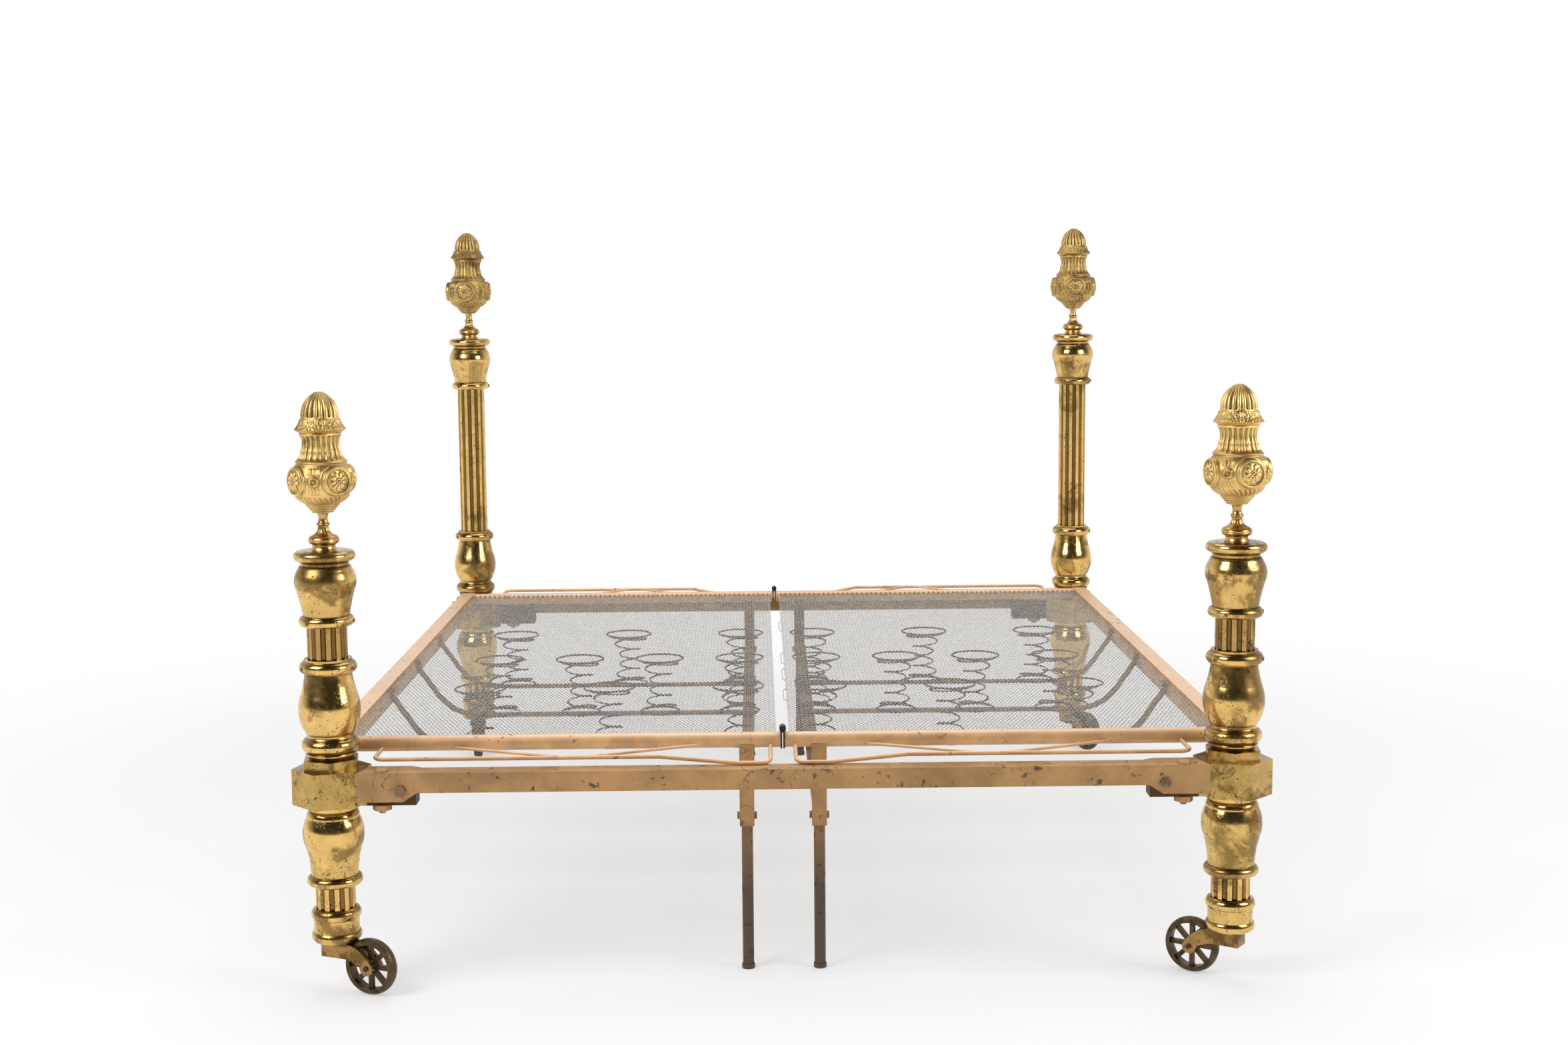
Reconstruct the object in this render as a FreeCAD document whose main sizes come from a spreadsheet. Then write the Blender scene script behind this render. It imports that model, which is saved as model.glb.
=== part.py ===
import FreeCAD, Part
import math
import os
import Sketcher
from FreeCAD import Placement, Rotation, Vector

# A turned bronze bedstead: four baluster posts on casters, a bolted rail at each end,
# and a sprung iron base in two leaves that fold on a hinge down the middle.
# Millimetres and degrees. X runs across the bed, Y from the foot to the head, Z up from the floor.

SIZES = {
    "post_span_x": 1700,
    "post_span_y": 2000,
    # Casters
    "wheel_radius": 54,
    "wheel_width": 22,
    "wheel_rise": 10,
    "wheel_gap": 3,
    "rim_depth": 11,
    "hub_radius": 14,
    "spoke_width": 9,
    "spoke_thickness": 8,
    "horn_gap": 1.5,
    "horn_top_gap": 1,
    "horn_height": 30,
    "horn_back": 24,
    "cheek_thickness": 6,
    "eye_radius": 14,
    "horn_crest": 11,
    "horn_hollow": 3,
    "axle_radius": 5,
    "axle_head": 3,
    "stem_radius": 9,
    "stem_length": 50,
    "running_gap": 0.08,
    # Post core and fluted lengths
    "rod_radius": 7,
    "rod_gap": 0.2,
    "rod_start": 8,
    "flute_outer": 37,
    "flute_radius": 5.2,
    "flute_centre": 37.5,
    "leg_flute_height": 44,
    "foot_column": 61,
    "head_column": 400,
    # Corner block, plinth nut and rail joint
    "block_radius": 74,
    "block_height": 68,
    "block_turn": 15,
    "nut_radius": 56,
    "nut_height": 18,
    "nut_turn": 38,
    "rail_drop": 2,
    "rail_front": 52,
    "rail_web": 38,
    "rail_flange": 45,
    "rail_thickness": 5,
    "rail_end_depth": 55,
    "rail_end_reach": 141,
    "rail_slope": 26,
    "gusset_width": 60,
    "gusset_reach": 150,
    "gusset_clip": 22,
    "seat_gap": 0.3,
    "lug_reach": 165,
    "lug_width": 40,
    "lug_depth": 56.7,
    "coach_reach": 100,
    "coach_set_back": 16,
    "coach_radius": 6,
    "coach_head": 13,
    "coach_dome": 7,
    "coach_tail": 16,
    "coach_nut": 18,
    "coach_nut_height": 10,
    "screw_reach": 137,
    "screw_drop": 33,
    "screw_radius": 5,
    "screw_length": 36,
    "screw_head": 11,
    "screw_head_height": 8,
    "hole_gap": 0.2,
    # Base leaves
    "tube_inset": 90,
    "tube_rise": 25,
    "tube_radius": 15,
    "tube_wall": 2,
    "side_inset": 7,
    "side_width": 35,
    "side_depth": 42,
    "side_thickness": 4,
    "side_overhang": 14,
    "plate_gap": 1,
    "plate_thickness": 3,
    "knuckle_radius": 6.5,
    "knuckle_lift": 0.5,
    "knuckle_length": 10.5,
    "knuckle_gap": 0.5,
    "pin_radius": 3,
    "pin_head": 5,
    "pin_head_height": 3,
    # Net, springs and slats
    "net_lift": 6,
    "net_thickness": 2,
    "net_inner": 12,
    "net_strand": 6,
    "spring_height": 129,
    "spring_gap": 0.3,
    "wire_radius": 2,
    "spring_top": 55,
    "spring_waist": 22,
    "spring_foot": 45,
    "spring_inner": 90,
    "spring_side_gap": 193,
    "slat_first": 600,
    "slat_pitch": 340,
    "slat_width": 30,
    "slat_thickness": 5,
    "slat_end": 50,
    "slat_bend_radius": 120,
    "slat_bend_turn": 55,
    "slat_tab": 15.5,
    "slat_net_gap": 2,
    "rivet_radius": 4,
    "rivet_head": 6.5,
    "rivet_head_height": 3,
    "bar_width": 28,
    "bar_thickness": 5,
    # Folding legs
    "leg_offset": 70,
    "leg_radius": 11,
    "leg_wall": 2,
    "leg_over": 7,
    "leg_swing_gap": 1.5,
    "leg_bar_gap": 4,
    "leg_side_gap": 0.6,
    "bracket_wall": 2.5,
    "bracket_depth": 29,
    "bracket_front": 14,
    "bracket_below": 18,
    "bolt_radius": 4,
    "bolt_head": 7.5,
    "bolt_head_height": 5,
    # Mattress guards
    "guard_radius": 4,
    "guard_inner": 24,
    "guard_post_gap": 82,
    "guard_set_back": 36,
    "guard_drop": 7,
    "guard_seat": 60,
    "guard_climb": 150,
    "foot_guard_rise": 14,
    "head_guard_rise": 28,
    "guard_bend": 22,
    "brace_radius": 3,
    "brace_spread": 262,
    "brace_meet": 15,
}

FLUTES = 12
SPOKES = 8
SPRING_TURNS = 5
SPRING_COUNTS = (3, 4, 3)
NET_COLUMNS = 10
NET_ROWS = 15
QUARTER_TURN = math.pi / 2
EIGHTH_TURN = 45

# Where each caster trails, in degrees from +X
CASTER_TURNS = {
    "foot_left": -24,
    "foot_right": 145,
    "head_left": -85,
    "head_right": -60,
}

# Turned profiles from the bottom up: the starting radius, then stages of
# (rise, radius at the top of the stage, swell of the stage beyond its straight line).
PROFILES = {
    "ferrule": (41, (19, 43.5, 4.8), (25, 43.5, -1.2), (20, 40, 5.2)),
    "leg_vase": (43, (20, 44, 8.6), (53, 52, -1.8), (59, 50, 6.5), (14, 43.5, 1.8), (12, 46, 0)),
    "post_vase": (
        40, (6, 45, 0), (7, 45, 2), (27, 45, 9), (8, 44.3, -1.6),
        (75, 52, 9.4), (39, 43.6, -0.8), (24, 44, 9.6), (4, 44, 0),
    ),
    "capital": (
        42.5, (20, 43, 8.6), (47, 53.5, -0.8), (39, 51, 5), (9, 44, 1),
        (8, 50, -2), (18, 51, 6.5), (2, 40, 0),
    ),
    "finial_stem": (24, (10, 21, -1), (16, 24, 6.5), (19, 10, -4.5), (6, 10, 2.5), (19, 12, -2.4)),
    "finial_urn": (
        19, (18, 34, 0), (14, 49, 1.5), (59, 46, 10.5), (4, 48, 0),
        (20, 37, -3), (27, 37, -3), (6, 38, 1),
    ),
    "finial_tip": (38, (6, 47, 0), (19, 36, -2), (2, 34.5, 0), (46, 10, 7.8), (2, 6, 0)),
}


class Size:
    """A number together with the sheet formula that gives it."""

    def __init__(self, value, formula):
        self.value = value
        self.formula = formula

    def __float__(self):
        return float(self.value)

    def __add__(self, other):
        other = as_size(other)
        return Size(self.value + other.value, f"({self.formula} + {other.formula})")

    def __sub__(self, other):
        other = as_size(other)
        return Size(self.value - other.value, f"({self.formula} - {other.formula})")

    def __mul__(self, other):
        other = as_size(other)
        return Size(self.value * other.value, f"({self.formula} * {other.formula})")

    def __truediv__(self, other):
        other = as_size(other)
        return Size(self.value / other.value, f"({self.formula} / {other.formula})")

    def __radd__(self, other):
        return as_size(other) + self

    def __rsub__(self, other):
        return as_size(other) - self

    def __rmul__(self, other):
        return as_size(other) * self

    def __neg__(self):
        return as_size(0) - self


def as_size(number):
    if isinstance(number, Size):
        return number
    return Size(float(number), f"{float(number):.6f}")


def root(size):
    return Size(math.sqrt(size.value), f"sqrt({size.formula})")


def sine(size):
    return Size(math.sin(math.radians(size.value)), f"sin({size.formula} * 1 deg)")


def cosine(size):
    return Size(math.cos(math.radians(size.value)), f"cos({size.formula} * 1 deg)")


class Sheet:
    """The spreadsheet of driving sizes; each attribute is one aliased cell."""

    def __init__(self, document, sizes):
        self.cells = document.addObject("Spreadsheet::Sheet", "Sizes")
        self.rows = 0
        for alias, value in sizes.items():
            self.add(alias, value)

    def add(self, alias, value):
        self.rows += 1
        self.cells.set(f"A{self.rows}", alias.replace("_", " "))
        self.cells.set(f"B{self.rows}", str(value))
        self.cells.setAlias(f"B{self.rows}", alias)
        size = Size(float(value), f"Sizes.{alias}")
        setattr(self, alias, size)
        return size


doc = FreeCAD.newDocument("BronzeBed")
s = Sheet(doc, SIZES)
stages = {}
for profile, (start, *steps) in PROFILES.items():
    stages[profile] = [s.add(f"{profile}_start", start)]
    for number, (rise, radius, swell) in enumerate(steps, 1):
        stages[profile].append((
            s.add(f"{profile}_rise_{number}x", rise),
            s.add(f"{profile}_radius_{number}x", radius),
            s.add(f"{profile}_swell_{number}x", swell),
        ))
doc.recompute()

nodes = []


def node(obj):
    """Count a finished sub-part among those that are written out."""
    nodes.append(obj)
    return obj


def add(kind, label):
    obj = doc.addObject(kind, label)
    obj.Label = label
    return obj


def bind(obj, **sizes):
    for name, size in sizes.items():
        obj.setExpression(name, as_size(size).formula)


def place(obj, x=0, y=0, z=0, axis=Vector(0, 0, 1), turn=0):
    obj.Placement = Placement(Vector(float(x), float(y), float(z)), Rotation(axis, float(turn)))
    for name, size in (("x", x), ("y", y), ("z", z)):
        obj.setExpression(f".Placement.Base.{name}", as_size(size).formula)
    return obj


# The turn that lays a solid's own Z axis along another axis
LAID_ALONG = {"X": (Vector(0, 1, 0), 90), "Y": (Vector(1, 0, 0), -90), "Z": (Vector(0, 0, 1), 0)}


def cylinder(label, radius, length, x=0, y=0, z=0, along="Z"):
    obj = add("Part::Cylinder", label)
    bind(obj, Radius=radius, Height=length)
    return place(obj, x, y, z, *LAID_ALONG[along])


def hexagon(label, radius, height, x=0, y=0, z=0, along="Z"):
    obj = add("Part::Prism", label)
    obj.Polygon = 6
    bind(obj, Circumradius=radius, Height=height)
    return place(obj, x, y, z, *LAID_ALONG[along])


def box(label, x, y, z):
    """A box between three (low, high) pairs."""
    obj = add("Part::Box", label)
    bind(obj, Length=x[1] - x[0], Width=y[1] - y[0], Height=z[1] - z[0])
    return place(obj, x[0], y[0], z[0])


def fuse(label, *pieces):
    obj = add("Part::MultiFuse", label)
    obj.Shapes = list(pieces)
    return obj


def cut(label, base, *tools):
    obj = add("Part::Cut", label)
    obj.Base = base
    obj.Tool = tools[0] if len(tools) == 1 else group(f"{label}_tools", *tools)
    return obj


def group(label, *pieces):
    obj = add("Part::Compound", label)
    obj.Links = list(pieces)
    return obj


def mirror(label, source, *normals):
    """A copy mirrored through the middle of the bed, across each normal in turn."""
    for count, normal in enumerate(normals, 1):
        copy = add("Part::Mirroring", label if count == len(normals) else f"{label}_half")
        copy.Source = source
        copy.Normal = normal
        source = copy
    return source


ACROSS = Vector(1, 0, 0)
LENGTHWAYS = Vector(0, 1, 0)


def at_posts(label, piece):
    """Four copies of a piece that is modelled at the foot-left post."""
    return node(group(
        label,
        piece,
        mirror(f"{label}_foot_right", piece, ACROSS),
        mirror(f"{label}_head_left", piece, LENGTHWAYS),
        mirror(f"{label}_head_right", piece, ACROSS, LENGTHWAYS),
    ))


def left_and_right(label, piece):
    """The right leaf's piece and its mirror image on the left leaf."""
    piece.Label = f"right_{label}"
    node(piece)
    node(mirror(f"left_{label}", piece, ACROSS))


# Sketched outlines


class Outline:
    """A closed outline of straight lines and arcs, each arc given by its rise off its chord."""

    def __init__(self, x, y):
        self.points = [(as_size(x), as_size(y))]
        self.rises = []

    def line(self, x, y):
        return self.bow(x, y, None)

    def bow(self, x, y, rise):
        """An arc that stands off to the right of its chord, or to the left if the rise is negative."""
        self.points.append((as_size(x), as_size(y)))
        self.rises.append(rise)
        return self


def pin_point(sketch, edge, end, x, y):
    """Hold one end of an edge at a place given by the sheet."""
    for kind, size, axis in (("DistanceX", x, -2), ("DistanceY", y, -1)):
        if size.value == 0:
            sketch.addConstraint(Sketcher.Constraint("PointOnObject", edge, end, axis))
            continue
        ends = (-1, 1, edge, end) if size.value > 0 else (edge, end, -1, 1)
        index = sketch.addConstraint(Sketcher.Constraint(kind, *ends, abs(size.value)))
        sketch.setExpression(f"Constraints[{index}]", (size if size.value > 0 else -size).formula)


def draw(sketch, outline):
    """Draw an outline with every corner and every arc bound to the sheet."""
    corners = outline.points
    rises = outline.rises + [None]
    ends = []
    for index, rise in enumerate(rises):
        x1, y1 = corners[index]
        x2, y2 = corners[(index + 1) % len(corners)]
        first = Vector(x1.value, y1.value)
        last = Vector(x2.value, y2.value)
        if rise is None:
            edge = sketch.addGeometry(Part.LineSegment(first, last))
            ends.append((edge, 1, 2))
            continue
        chord = last - first
        aside = Vector(chord.y, -chord.x).normalize()
        middle = (first + last) / 2 + aside * rise.value
        # A sketch keeps its arcs anticlockwise
        if rise.value > 0:
            edge = sketch.addGeometry(Part.Arc(first, middle, last))
            ends.append((edge, 1, 2))
        else:
            edge = sketch.addGeometry(Part.Arc(last, middle, first))
            ends.append((edge, 2, 1))
        squared = (x2 - x1) * (x2 - x1) + (y2 - y1) * (y2 - y1)
        outward = rise if rise.value > 0 else -rise
        radius = (squared / 4 + rise * rise) / (2 * outward)
        held = sketch.addConstraint(Sketcher.Constraint("Radius", edge, radius.value))
        sketch.setExpression(f"Constraints[{held}]", radius.formula)
    for index, (edge, begin, _) in enumerate(ends):
        before, _, finish = ends[index - 1]
        sketch.addConstraint(Sketcher.Constraint("Coincident", before, finish, edge, begin))
        pin_point(sketch, edge, begin, *corners[index])


def sketch_on(body, role):
    sketch = body.newObject("Sketcher::SketchObject", f"{body.Name}_outline")
    plane = [feature for feature in body.Origin.OriginFeatures if feature.Role == role][0]
    sketch.AttachmentSupport = (plane, [""])
    sketch.MapMode = "FlatFace"
    return sketch


def circle_on(body, role, radius, x=0, y=0):
    sketch = sketch_on(body, role)
    centre = Vector(float(x), float(y))
    edge = sketch.addGeometry(Part.Circle(centre, Vector(0, 0, 1), float(radius)))
    pin_point(sketch, edge, 3, as_size(x), as_size(y))
    held = sketch.addConstraint(Sketcher.Constraint("Radius", edge, float(radius)))
    sketch.setExpression(f"Constraints[{held}]", as_size(radius).formula)
    return sketch


def pad(body, sketch, length, both_ways=False):
    feature = body.newObject("PartDesign::Pad", f"{body.Name}_pad")
    feature.Profile = sketch
    feature.SideType = "Symmetric" if both_ways else "One side"
    bind(feature, Length=length)
    return feature


def pocket(body, sketch, length=None):
    """A cut both ways from its sketch, right through or as wide as a given length."""
    feature = body.newObject("PartDesign::Pocket", f"{body.Name}_pocket")
    feature.Profile = sketch
    feature.SideType = "Symmetric"
    feature.Type = "ThroughAll" if length is None else "Length"
    if length is not None:
        bind(feature, Length=length)
    return feature


def revolve(body, sketch, axis="V_Axis"):
    feature = body.newObject("PartDesign::Revolution", f"{body.Name}_turning")
    feature.Profile = sketch
    feature.ReferenceAxis = (sketch, [axis])
    feature.Angle = 360
    return feature


def all_round(body, feature, sketch, count, axis="N_Axis"):
    pattern = body.newObject("PartDesign::PolarPattern", f"{body.Name}_round")
    pattern.Originals = [feature]
    pattern.Axis = (sketch, [axis])
    pattern.Angle = 360
    pattern.Occurrences = count
    body.Tip = pattern
    return pattern


def turned(label, start, steps, bore=None):
    """A turning about its own Z axis, from z = 0 up, drilled through if it has a bore."""
    inner = bore if bore is not None else as_size(0)
    outline = Outline(inner, 0)
    radius = start
    height = as_size(0)
    outline.line(radius, height)
    for rise, radius, swell in steps:
        height = height + rise
        outline.bow(radius, height, swell if swell.value else None)
    outline.line(inner, height)
    body = add("PartDesign::Body", label)
    sketch = sketch_on(body, "XZ_Plane")
    draw(sketch, outline)
    revolve(body, sketch)
    return body


def height_of(profile):
    return sum((rise for rise, _, _ in stages[profile][1:]), as_size(0))


# Heights of the post's seats, stacked up from the floor

post_x = s.post_span_x / 2
post_y = s.post_span_y / 2
rod_bore = s.rod_radius + s.rod_gap

ferrule_z = 2 * s.wheel_radius - s.wheel_rise
flutes_z = ferrule_z + height_of("ferrule")
leg_vase_z = flutes_z + s.leg_flute_height
block_z = leg_vase_z + height_of("leg_vase")
nut_z = block_z + s.block_height
vase_z = nut_z + s.nut_height
column_z = vase_z + height_of("post_vase")
foot_top_z = column_z + s.foot_column
head_top_z = column_z + s.head_column

rail_z = nut_z - s.rail_drop
tube_y = post_y - s.tube_inset
tube_z = rail_z + s.tube_rise


# Posts


def post_piece(profile, z, bore=None):
    piece = turned(f"{profile}_turning", stages[profile][0], stages[profile][1:], bore)
    return place(piece, -post_x, -post_y, z)


def both_ends(label, make):
    """A piece that stands higher on the head posts than on the foot posts."""
    pieces = []
    for end, y, top in (("foot", -post_y, foot_top_z), ("head", post_y, head_top_z)):
        piece = make(f"{end}_{label}", y, top)
        pieces += [piece, mirror(f"{end}_{label}_right", piece, ACROSS)]
    return node(group(label, *pieces))


def fluted(label, height):
    """A round length with flutes all the way down it and a bore for the tie rod."""
    body = add("PartDesign::Body", label)
    pad(body, circle_on(body, "XY_Plane", s.flute_outer), height)
    pocket(body, circle_on(body, "XY_Plane", rod_bore))
    groove_sketch = circle_on(body, "XY_Plane", s.flute_radius, s.flute_centre)
    groove = pocket(body, groove_sketch)
    all_round(body, groove, groove_sketch, FLUTES)
    return body


def top_piece(profile, below, bore=None):
    """A turning on top of the columns, at its own height above them."""

    def make(label, y, top):
        piece = turned(f"{label}_turning", stages[profile][0], stages[profile][1:], bore)
        return place(piece, -post_x, y, top + below)

    return make


def column(label, y, top):
    return place(fluted(f"{label}_length", top - column_z), -post_x, y, column_z)


def tie_rod(label, y, top):
    start = flutes_z + s.rod_start
    return cylinder(label, s.rod_radius, top + height_of("capital") - start, -post_x, y, start)


def corner_block():
    """A six-sided block with a lug that the end rail is bolted to."""
    body = hexagon("block_body", s.block_radius, s.block_height)
    place(body, -post_x, -post_y, block_z, Vector(0, 0, 1), s.block_turn)
    front = -post_y - s.rail_front + s.rail_thickness + s.seat_gap
    top = rail_z - s.rail_thickness - s.seat_gap
    lug = box(
        "block_lug",
        (-post_x, -post_x + s.lug_reach),
        (front, front + s.lug_width),
        (top - s.lug_depth, top),
    )
    return cut(
        "block_casting",
        fuse("block_with_lug", body, lug),
        cylinder("block_bore", rod_bore, s.block_height, -post_x, -post_y, block_z),
        coach_hole("lug_coach_hole"),
        screw_hole("lug_screw_hole"),
    )


def plinth_nut():
    nut = hexagon("nut_body", s.nut_radius, s.nut_height)
    place(nut, -post_x, -post_y, nut_z, Vector(0, 0, 1), s.nut_turn)
    return cut("nut_turning", nut, cylinder("nut_bore", rod_bore, s.nut_height, -post_x, -post_y, nut_z))


# Rails and their bolts, at the foot-left corner

coach_x = -post_x + s.coach_reach
coach_y = -post_y - s.rail_front + s.coach_set_back
coach_low = rail_z - s.rail_thickness - s.seat_gap - s.lug_depth - s.coach_tail
screw_x = -post_x + s.screw_reach
screw_z = rail_z - s.screw_drop


def coach_hole(label):
    length = rail_z - coach_low
    return cylinder(label, s.coach_radius + s.hole_gap, length, coach_x, coach_y, coach_low)


def screw_hole(label):
    front = -post_y - s.rail_front
    return cylinder(label, s.screw_radius + s.hole_gap, s.screw_length, screw_x, front, screw_z, "Y")


def foot_rail():
    """An angle rail, deeper and wider at its ends, that butts on the corner blocks."""
    body = add("PartDesign::Body", "rail_angle")
    end = post_x
    deep = post_x - s.rail_end_reach
    shallow = deep - s.rail_slope
    low = rail_z - s.rail_web
    deepest = rail_z - s.rail_end_depth
    front = Outline(-end, rail_z).line(-end, deepest).line(-deep, deepest).line(-shallow, low)
    front.line(shallow, low).line(deep, deepest).line(end, deepest).line(end, rail_z)
    web_sketch = sketch_on(body, "XZ_Plane")
    web_sketch.setExpression(".AttachmentOffset.Base.z", (post_y + s.rail_front - s.rail_thickness).formula)
    draw(web_sketch, front)
    pad(body, web_sketch, s.rail_thickness)
    outer = -post_y - s.rail_front
    narrow = outer + s.rail_flange
    wide = outer + s.gusset_width
    broad = post_x - s.gusset_reach
    clipped = broad - s.gusset_clip
    top = Outline(-end, outer).line(end, outer).line(end, wide).line(broad, wide).line(clipped, narrow)
    top.line(-clipped, narrow).line(-broad, wide).line(-end, wide)
    top_sketch = sketch_on(body, "XY_Plane")
    top_sketch.setExpression(".AttachmentOffset.Base.z", (rail_z - s.rail_thickness).formula)
    draw(top_sketch, top)
    pad(body, top_sketch, s.rail_thickness)
    block = hexagon("rail_end_cut", s.block_radius, s.block_height)
    place(block, -post_x, -post_y, block_z, Vector(0, 0, 1), s.block_turn)
    tools = [block, coach_hole("rail_coach_hole"), screw_hole("rail_screw_hole")]
    copies = [mirror(f"{tool.Label}_right", tool, ACROSS) for tool in tools]
    return cut("foot_rail", body, *tools, *copies)


def coach_bolt():
    shank = rail_z - coach_low
    steps = (
        (shank, s.coach_radius, as_size(0)),
        (as_size(0), s.coach_head, as_size(0)),
        (s.coach_dome, s.coach_radius, s.coach_dome / 3),
    )
    return place(turned("coach_bolt_turning", s.coach_radius, steps), coach_x, coach_y, coach_low)


def coach_nut():
    top = coach_low + s.coach_tail
    low = top - s.coach_nut_height
    body = hexagon("coach_nut_body", s.coach_nut, s.coach_nut_height, coach_x, coach_y, low)
    hole = cylinder("coach_nut_hole", s.coach_radius + s.hole_gap, s.coach_nut_height, coach_x, coach_y, low)
    return cut("coach_nut_piece", body, hole)


def rail_screw():
    front = -post_y - s.rail_front
    head_front = front - s.screw_head_height
    head = hexagon("screw_head_piece", s.screw_head, s.screw_head_height, screw_x, head_front, screw_z, "Y")
    shank = cylinder("screw_shank", s.screw_radius, s.screw_length, screw_x, front, screw_z, "Y")
    return fuse("screw_piece", head, shank)


# Casters


trail = stages["ferrule"][0] + s.wheel_gap + root(
    s.wheel_radius * s.wheel_radius
    - (s.wheel_radius - s.wheel_rise) * (s.wheel_radius - s.wheel_rise)
)
slot_width = s.wheel_width + 2 * s.horn_gap
horn_width = slot_width + 2 * s.cheek_thickness


def at_caster(piece, corner):
    """Set a piece of a caster under its post, turned the way that the caster trails."""
    end, side = corner.split("_")
    x = -post_x if side == "left" else post_x
    y = -post_y if end == "foot" else post_y
    return place(piece, x, y, 0, Vector(0, 0, 1), CASTER_TURNS[corner])


def horn(corner):
    """A forked casting under a plain stem, with the wheel's eyes at the end of its two cheeks."""
    body = add("PartDesign::Body", f"{corner}_horn")
    top = ferrule_z - s.horn_top_gap
    low = top - s.horn_height
    eye = s.wheel_radius
    tip = trail + s.eye_radius
    side = Outline(-s.horn_back, low).line(s.horn_back, low)
    quarter_bow = s.eye_radius * (1 - cosine(as_size(EIGHTH_TURN)))
    side.bow(trail - s.eye_radius, eye, -s.horn_hollow)
    side.bow(trail, eye - s.eye_radius, quarter_bow).bow(tip, eye, quarter_bow)
    side.bow(s.horn_back, top, s.horn_crest).line(-s.horn_back, top)
    sketch = sketch_on(body, "XZ_Plane")
    draw(sketch, side)
    pad(body, sketch, horn_width, both_ways=True)
    pocket(body, circle_on(body, "XZ_Plane", s.wheel_radius + s.wheel_gap, trail, eye), slot_width)
    pocket(body, circle_on(body, "XZ_Plane", s.axle_radius + s.running_gap, trail, eye))
    stem = circle_on(body, "XY_Plane", s.stem_radius)
    stem.setExpression(".AttachmentOffset.Base.z", top.formula)
    pad(body, stem, s.stem_length)
    return at_caster(node(body), corner)


def wheel(corner):
    """A spoked wheel, turned about the axle, with a crowned tread."""
    body = add("PartDesign::Body", f"{corner}_wheel_casting")
    half = s.wheel_width / 2
    bore = s.axle_radius + s.running_gap
    hub = Outline(-half, bore).line(half, bore).line(half, s.hub_radius).line(-half, s.hub_radius)
    hub_sketch = sketch_on(body, "YZ_Plane")
    draw(hub_sketch, hub)
    revolve(body, hub_sketch, "H_Axis")
    inner = s.wheel_radius - s.rim_depth
    spoke = Outline(-s.spoke_width / 2, s.hub_radius - s.axle_radius / 2)
    spoke.line(s.spoke_width / 2, s.hub_radius - s.axle_radius / 2)
    spoke.line(s.spoke_width / 2, inner + s.rim_depth / 2).line(-s.spoke_width / 2, inner + s.rim_depth / 2)
    spoke_sketch = sketch_on(body, "XZ_Plane")
    draw(spoke_sketch, spoke)
    arm = pad(body, spoke_sketch, s.spoke_thickness, both_ways=True)
    all_round(body, arm, spoke_sketch, SPOKES)
    shoulder = s.wheel_radius - s.rim_depth / 3
    rim = Outline(-half, inner).line(half, inner).line(half, shoulder)
    rim.bow(-half, shoulder, s.rim_depth / 3)
    rim_sketch = sketch_on(body, "YZ_Plane")
    draw(rim_sketch, rim)
    revolve(body, rim_sketch, "H_Axis")
    body.Label = f"{corner}_wheel"
    end, side = corner.split("_")
    turn = math.radians(CASTER_TURNS[corner])
    x = (-post_x if side == "left" else post_x) + trail * math.cos(turn)
    y = (-post_y if end == "foot" else post_y) + trail * math.sin(turn)
    return place(node(body), x, y, s.wheel_radius, Vector(0, 0, 1), CASTER_TURNS[corner])


def axle(corner):
    length = horn_width + 2 * s.axle_head
    body = add("PartDesign::Body", f"{corner}_axle")
    pad(body, circle_on(body, "XZ_Plane", s.axle_radius, trail, s.wheel_radius), length, both_ways=True)
    return at_caster(node(body), corner)


# Base leaf, modelled on the right

side_x = post_x - s.side_inset
net_low = tube_z + s.net_lift
slat_top = net_low - s.spring_height
bar_top = slat_top - s.slat_thickness
bar_low = bar_top - s.bar_thickness
plate_x = s.plate_gap + s.plate_thickness
hinge_z = tube_z + s.tube_radius + s.knuckle_radius + s.knuckle_lift
bracket_y = tube_y + s.bracket_front
leg_swing = root(s.leg_radius * s.leg_radius + s.leg_over * s.leg_over)
leg_y = bracket_y - s.bracket_wall - leg_swing - s.leg_swing_gap
pivot_z = bar_low - leg_swing - s.leg_bar_gap
bracket_back = bracket_y - s.bracket_depth
slat_rows = [-post_y + s.slat_first + s.slat_pitch * row for row in range(len(SPRING_COUNTS))]


def end_tube(end, y):
    length = side_x - plate_x
    outer = cylinder(f"{end}_tube_outside", s.tube_radius, length, plate_x, y, tube_z, "X")
    bore = cylinder(f"{end}_tube_bore", s.tube_radius - s.tube_wall, length, plate_x, y, tube_z, "X")
    return cut(f"{end}_tube_piece", outer, bore)


def side_bar():
    """An angle iron whose upper leg points outwards, along the outer ends of the tubes."""
    body = add("PartDesign::Body", "side_angle")
    top = tube_z + s.tube_radius
    low = top - s.side_depth
    under = top - s.side_thickness
    inner = side_x + s.side_thickness
    outer = side_x + s.side_width
    corner = Outline(side_x, low).line(inner, low).line(inner, under).line(outer, under)
    corner.line(outer, top).line(side_x, top)
    sketch = sketch_on(body, "XZ_Plane")
    draw(sketch, corner)
    pad(body, sketch, 2 * (tube_y + s.side_overhang), both_ways=True)
    return body


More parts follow.
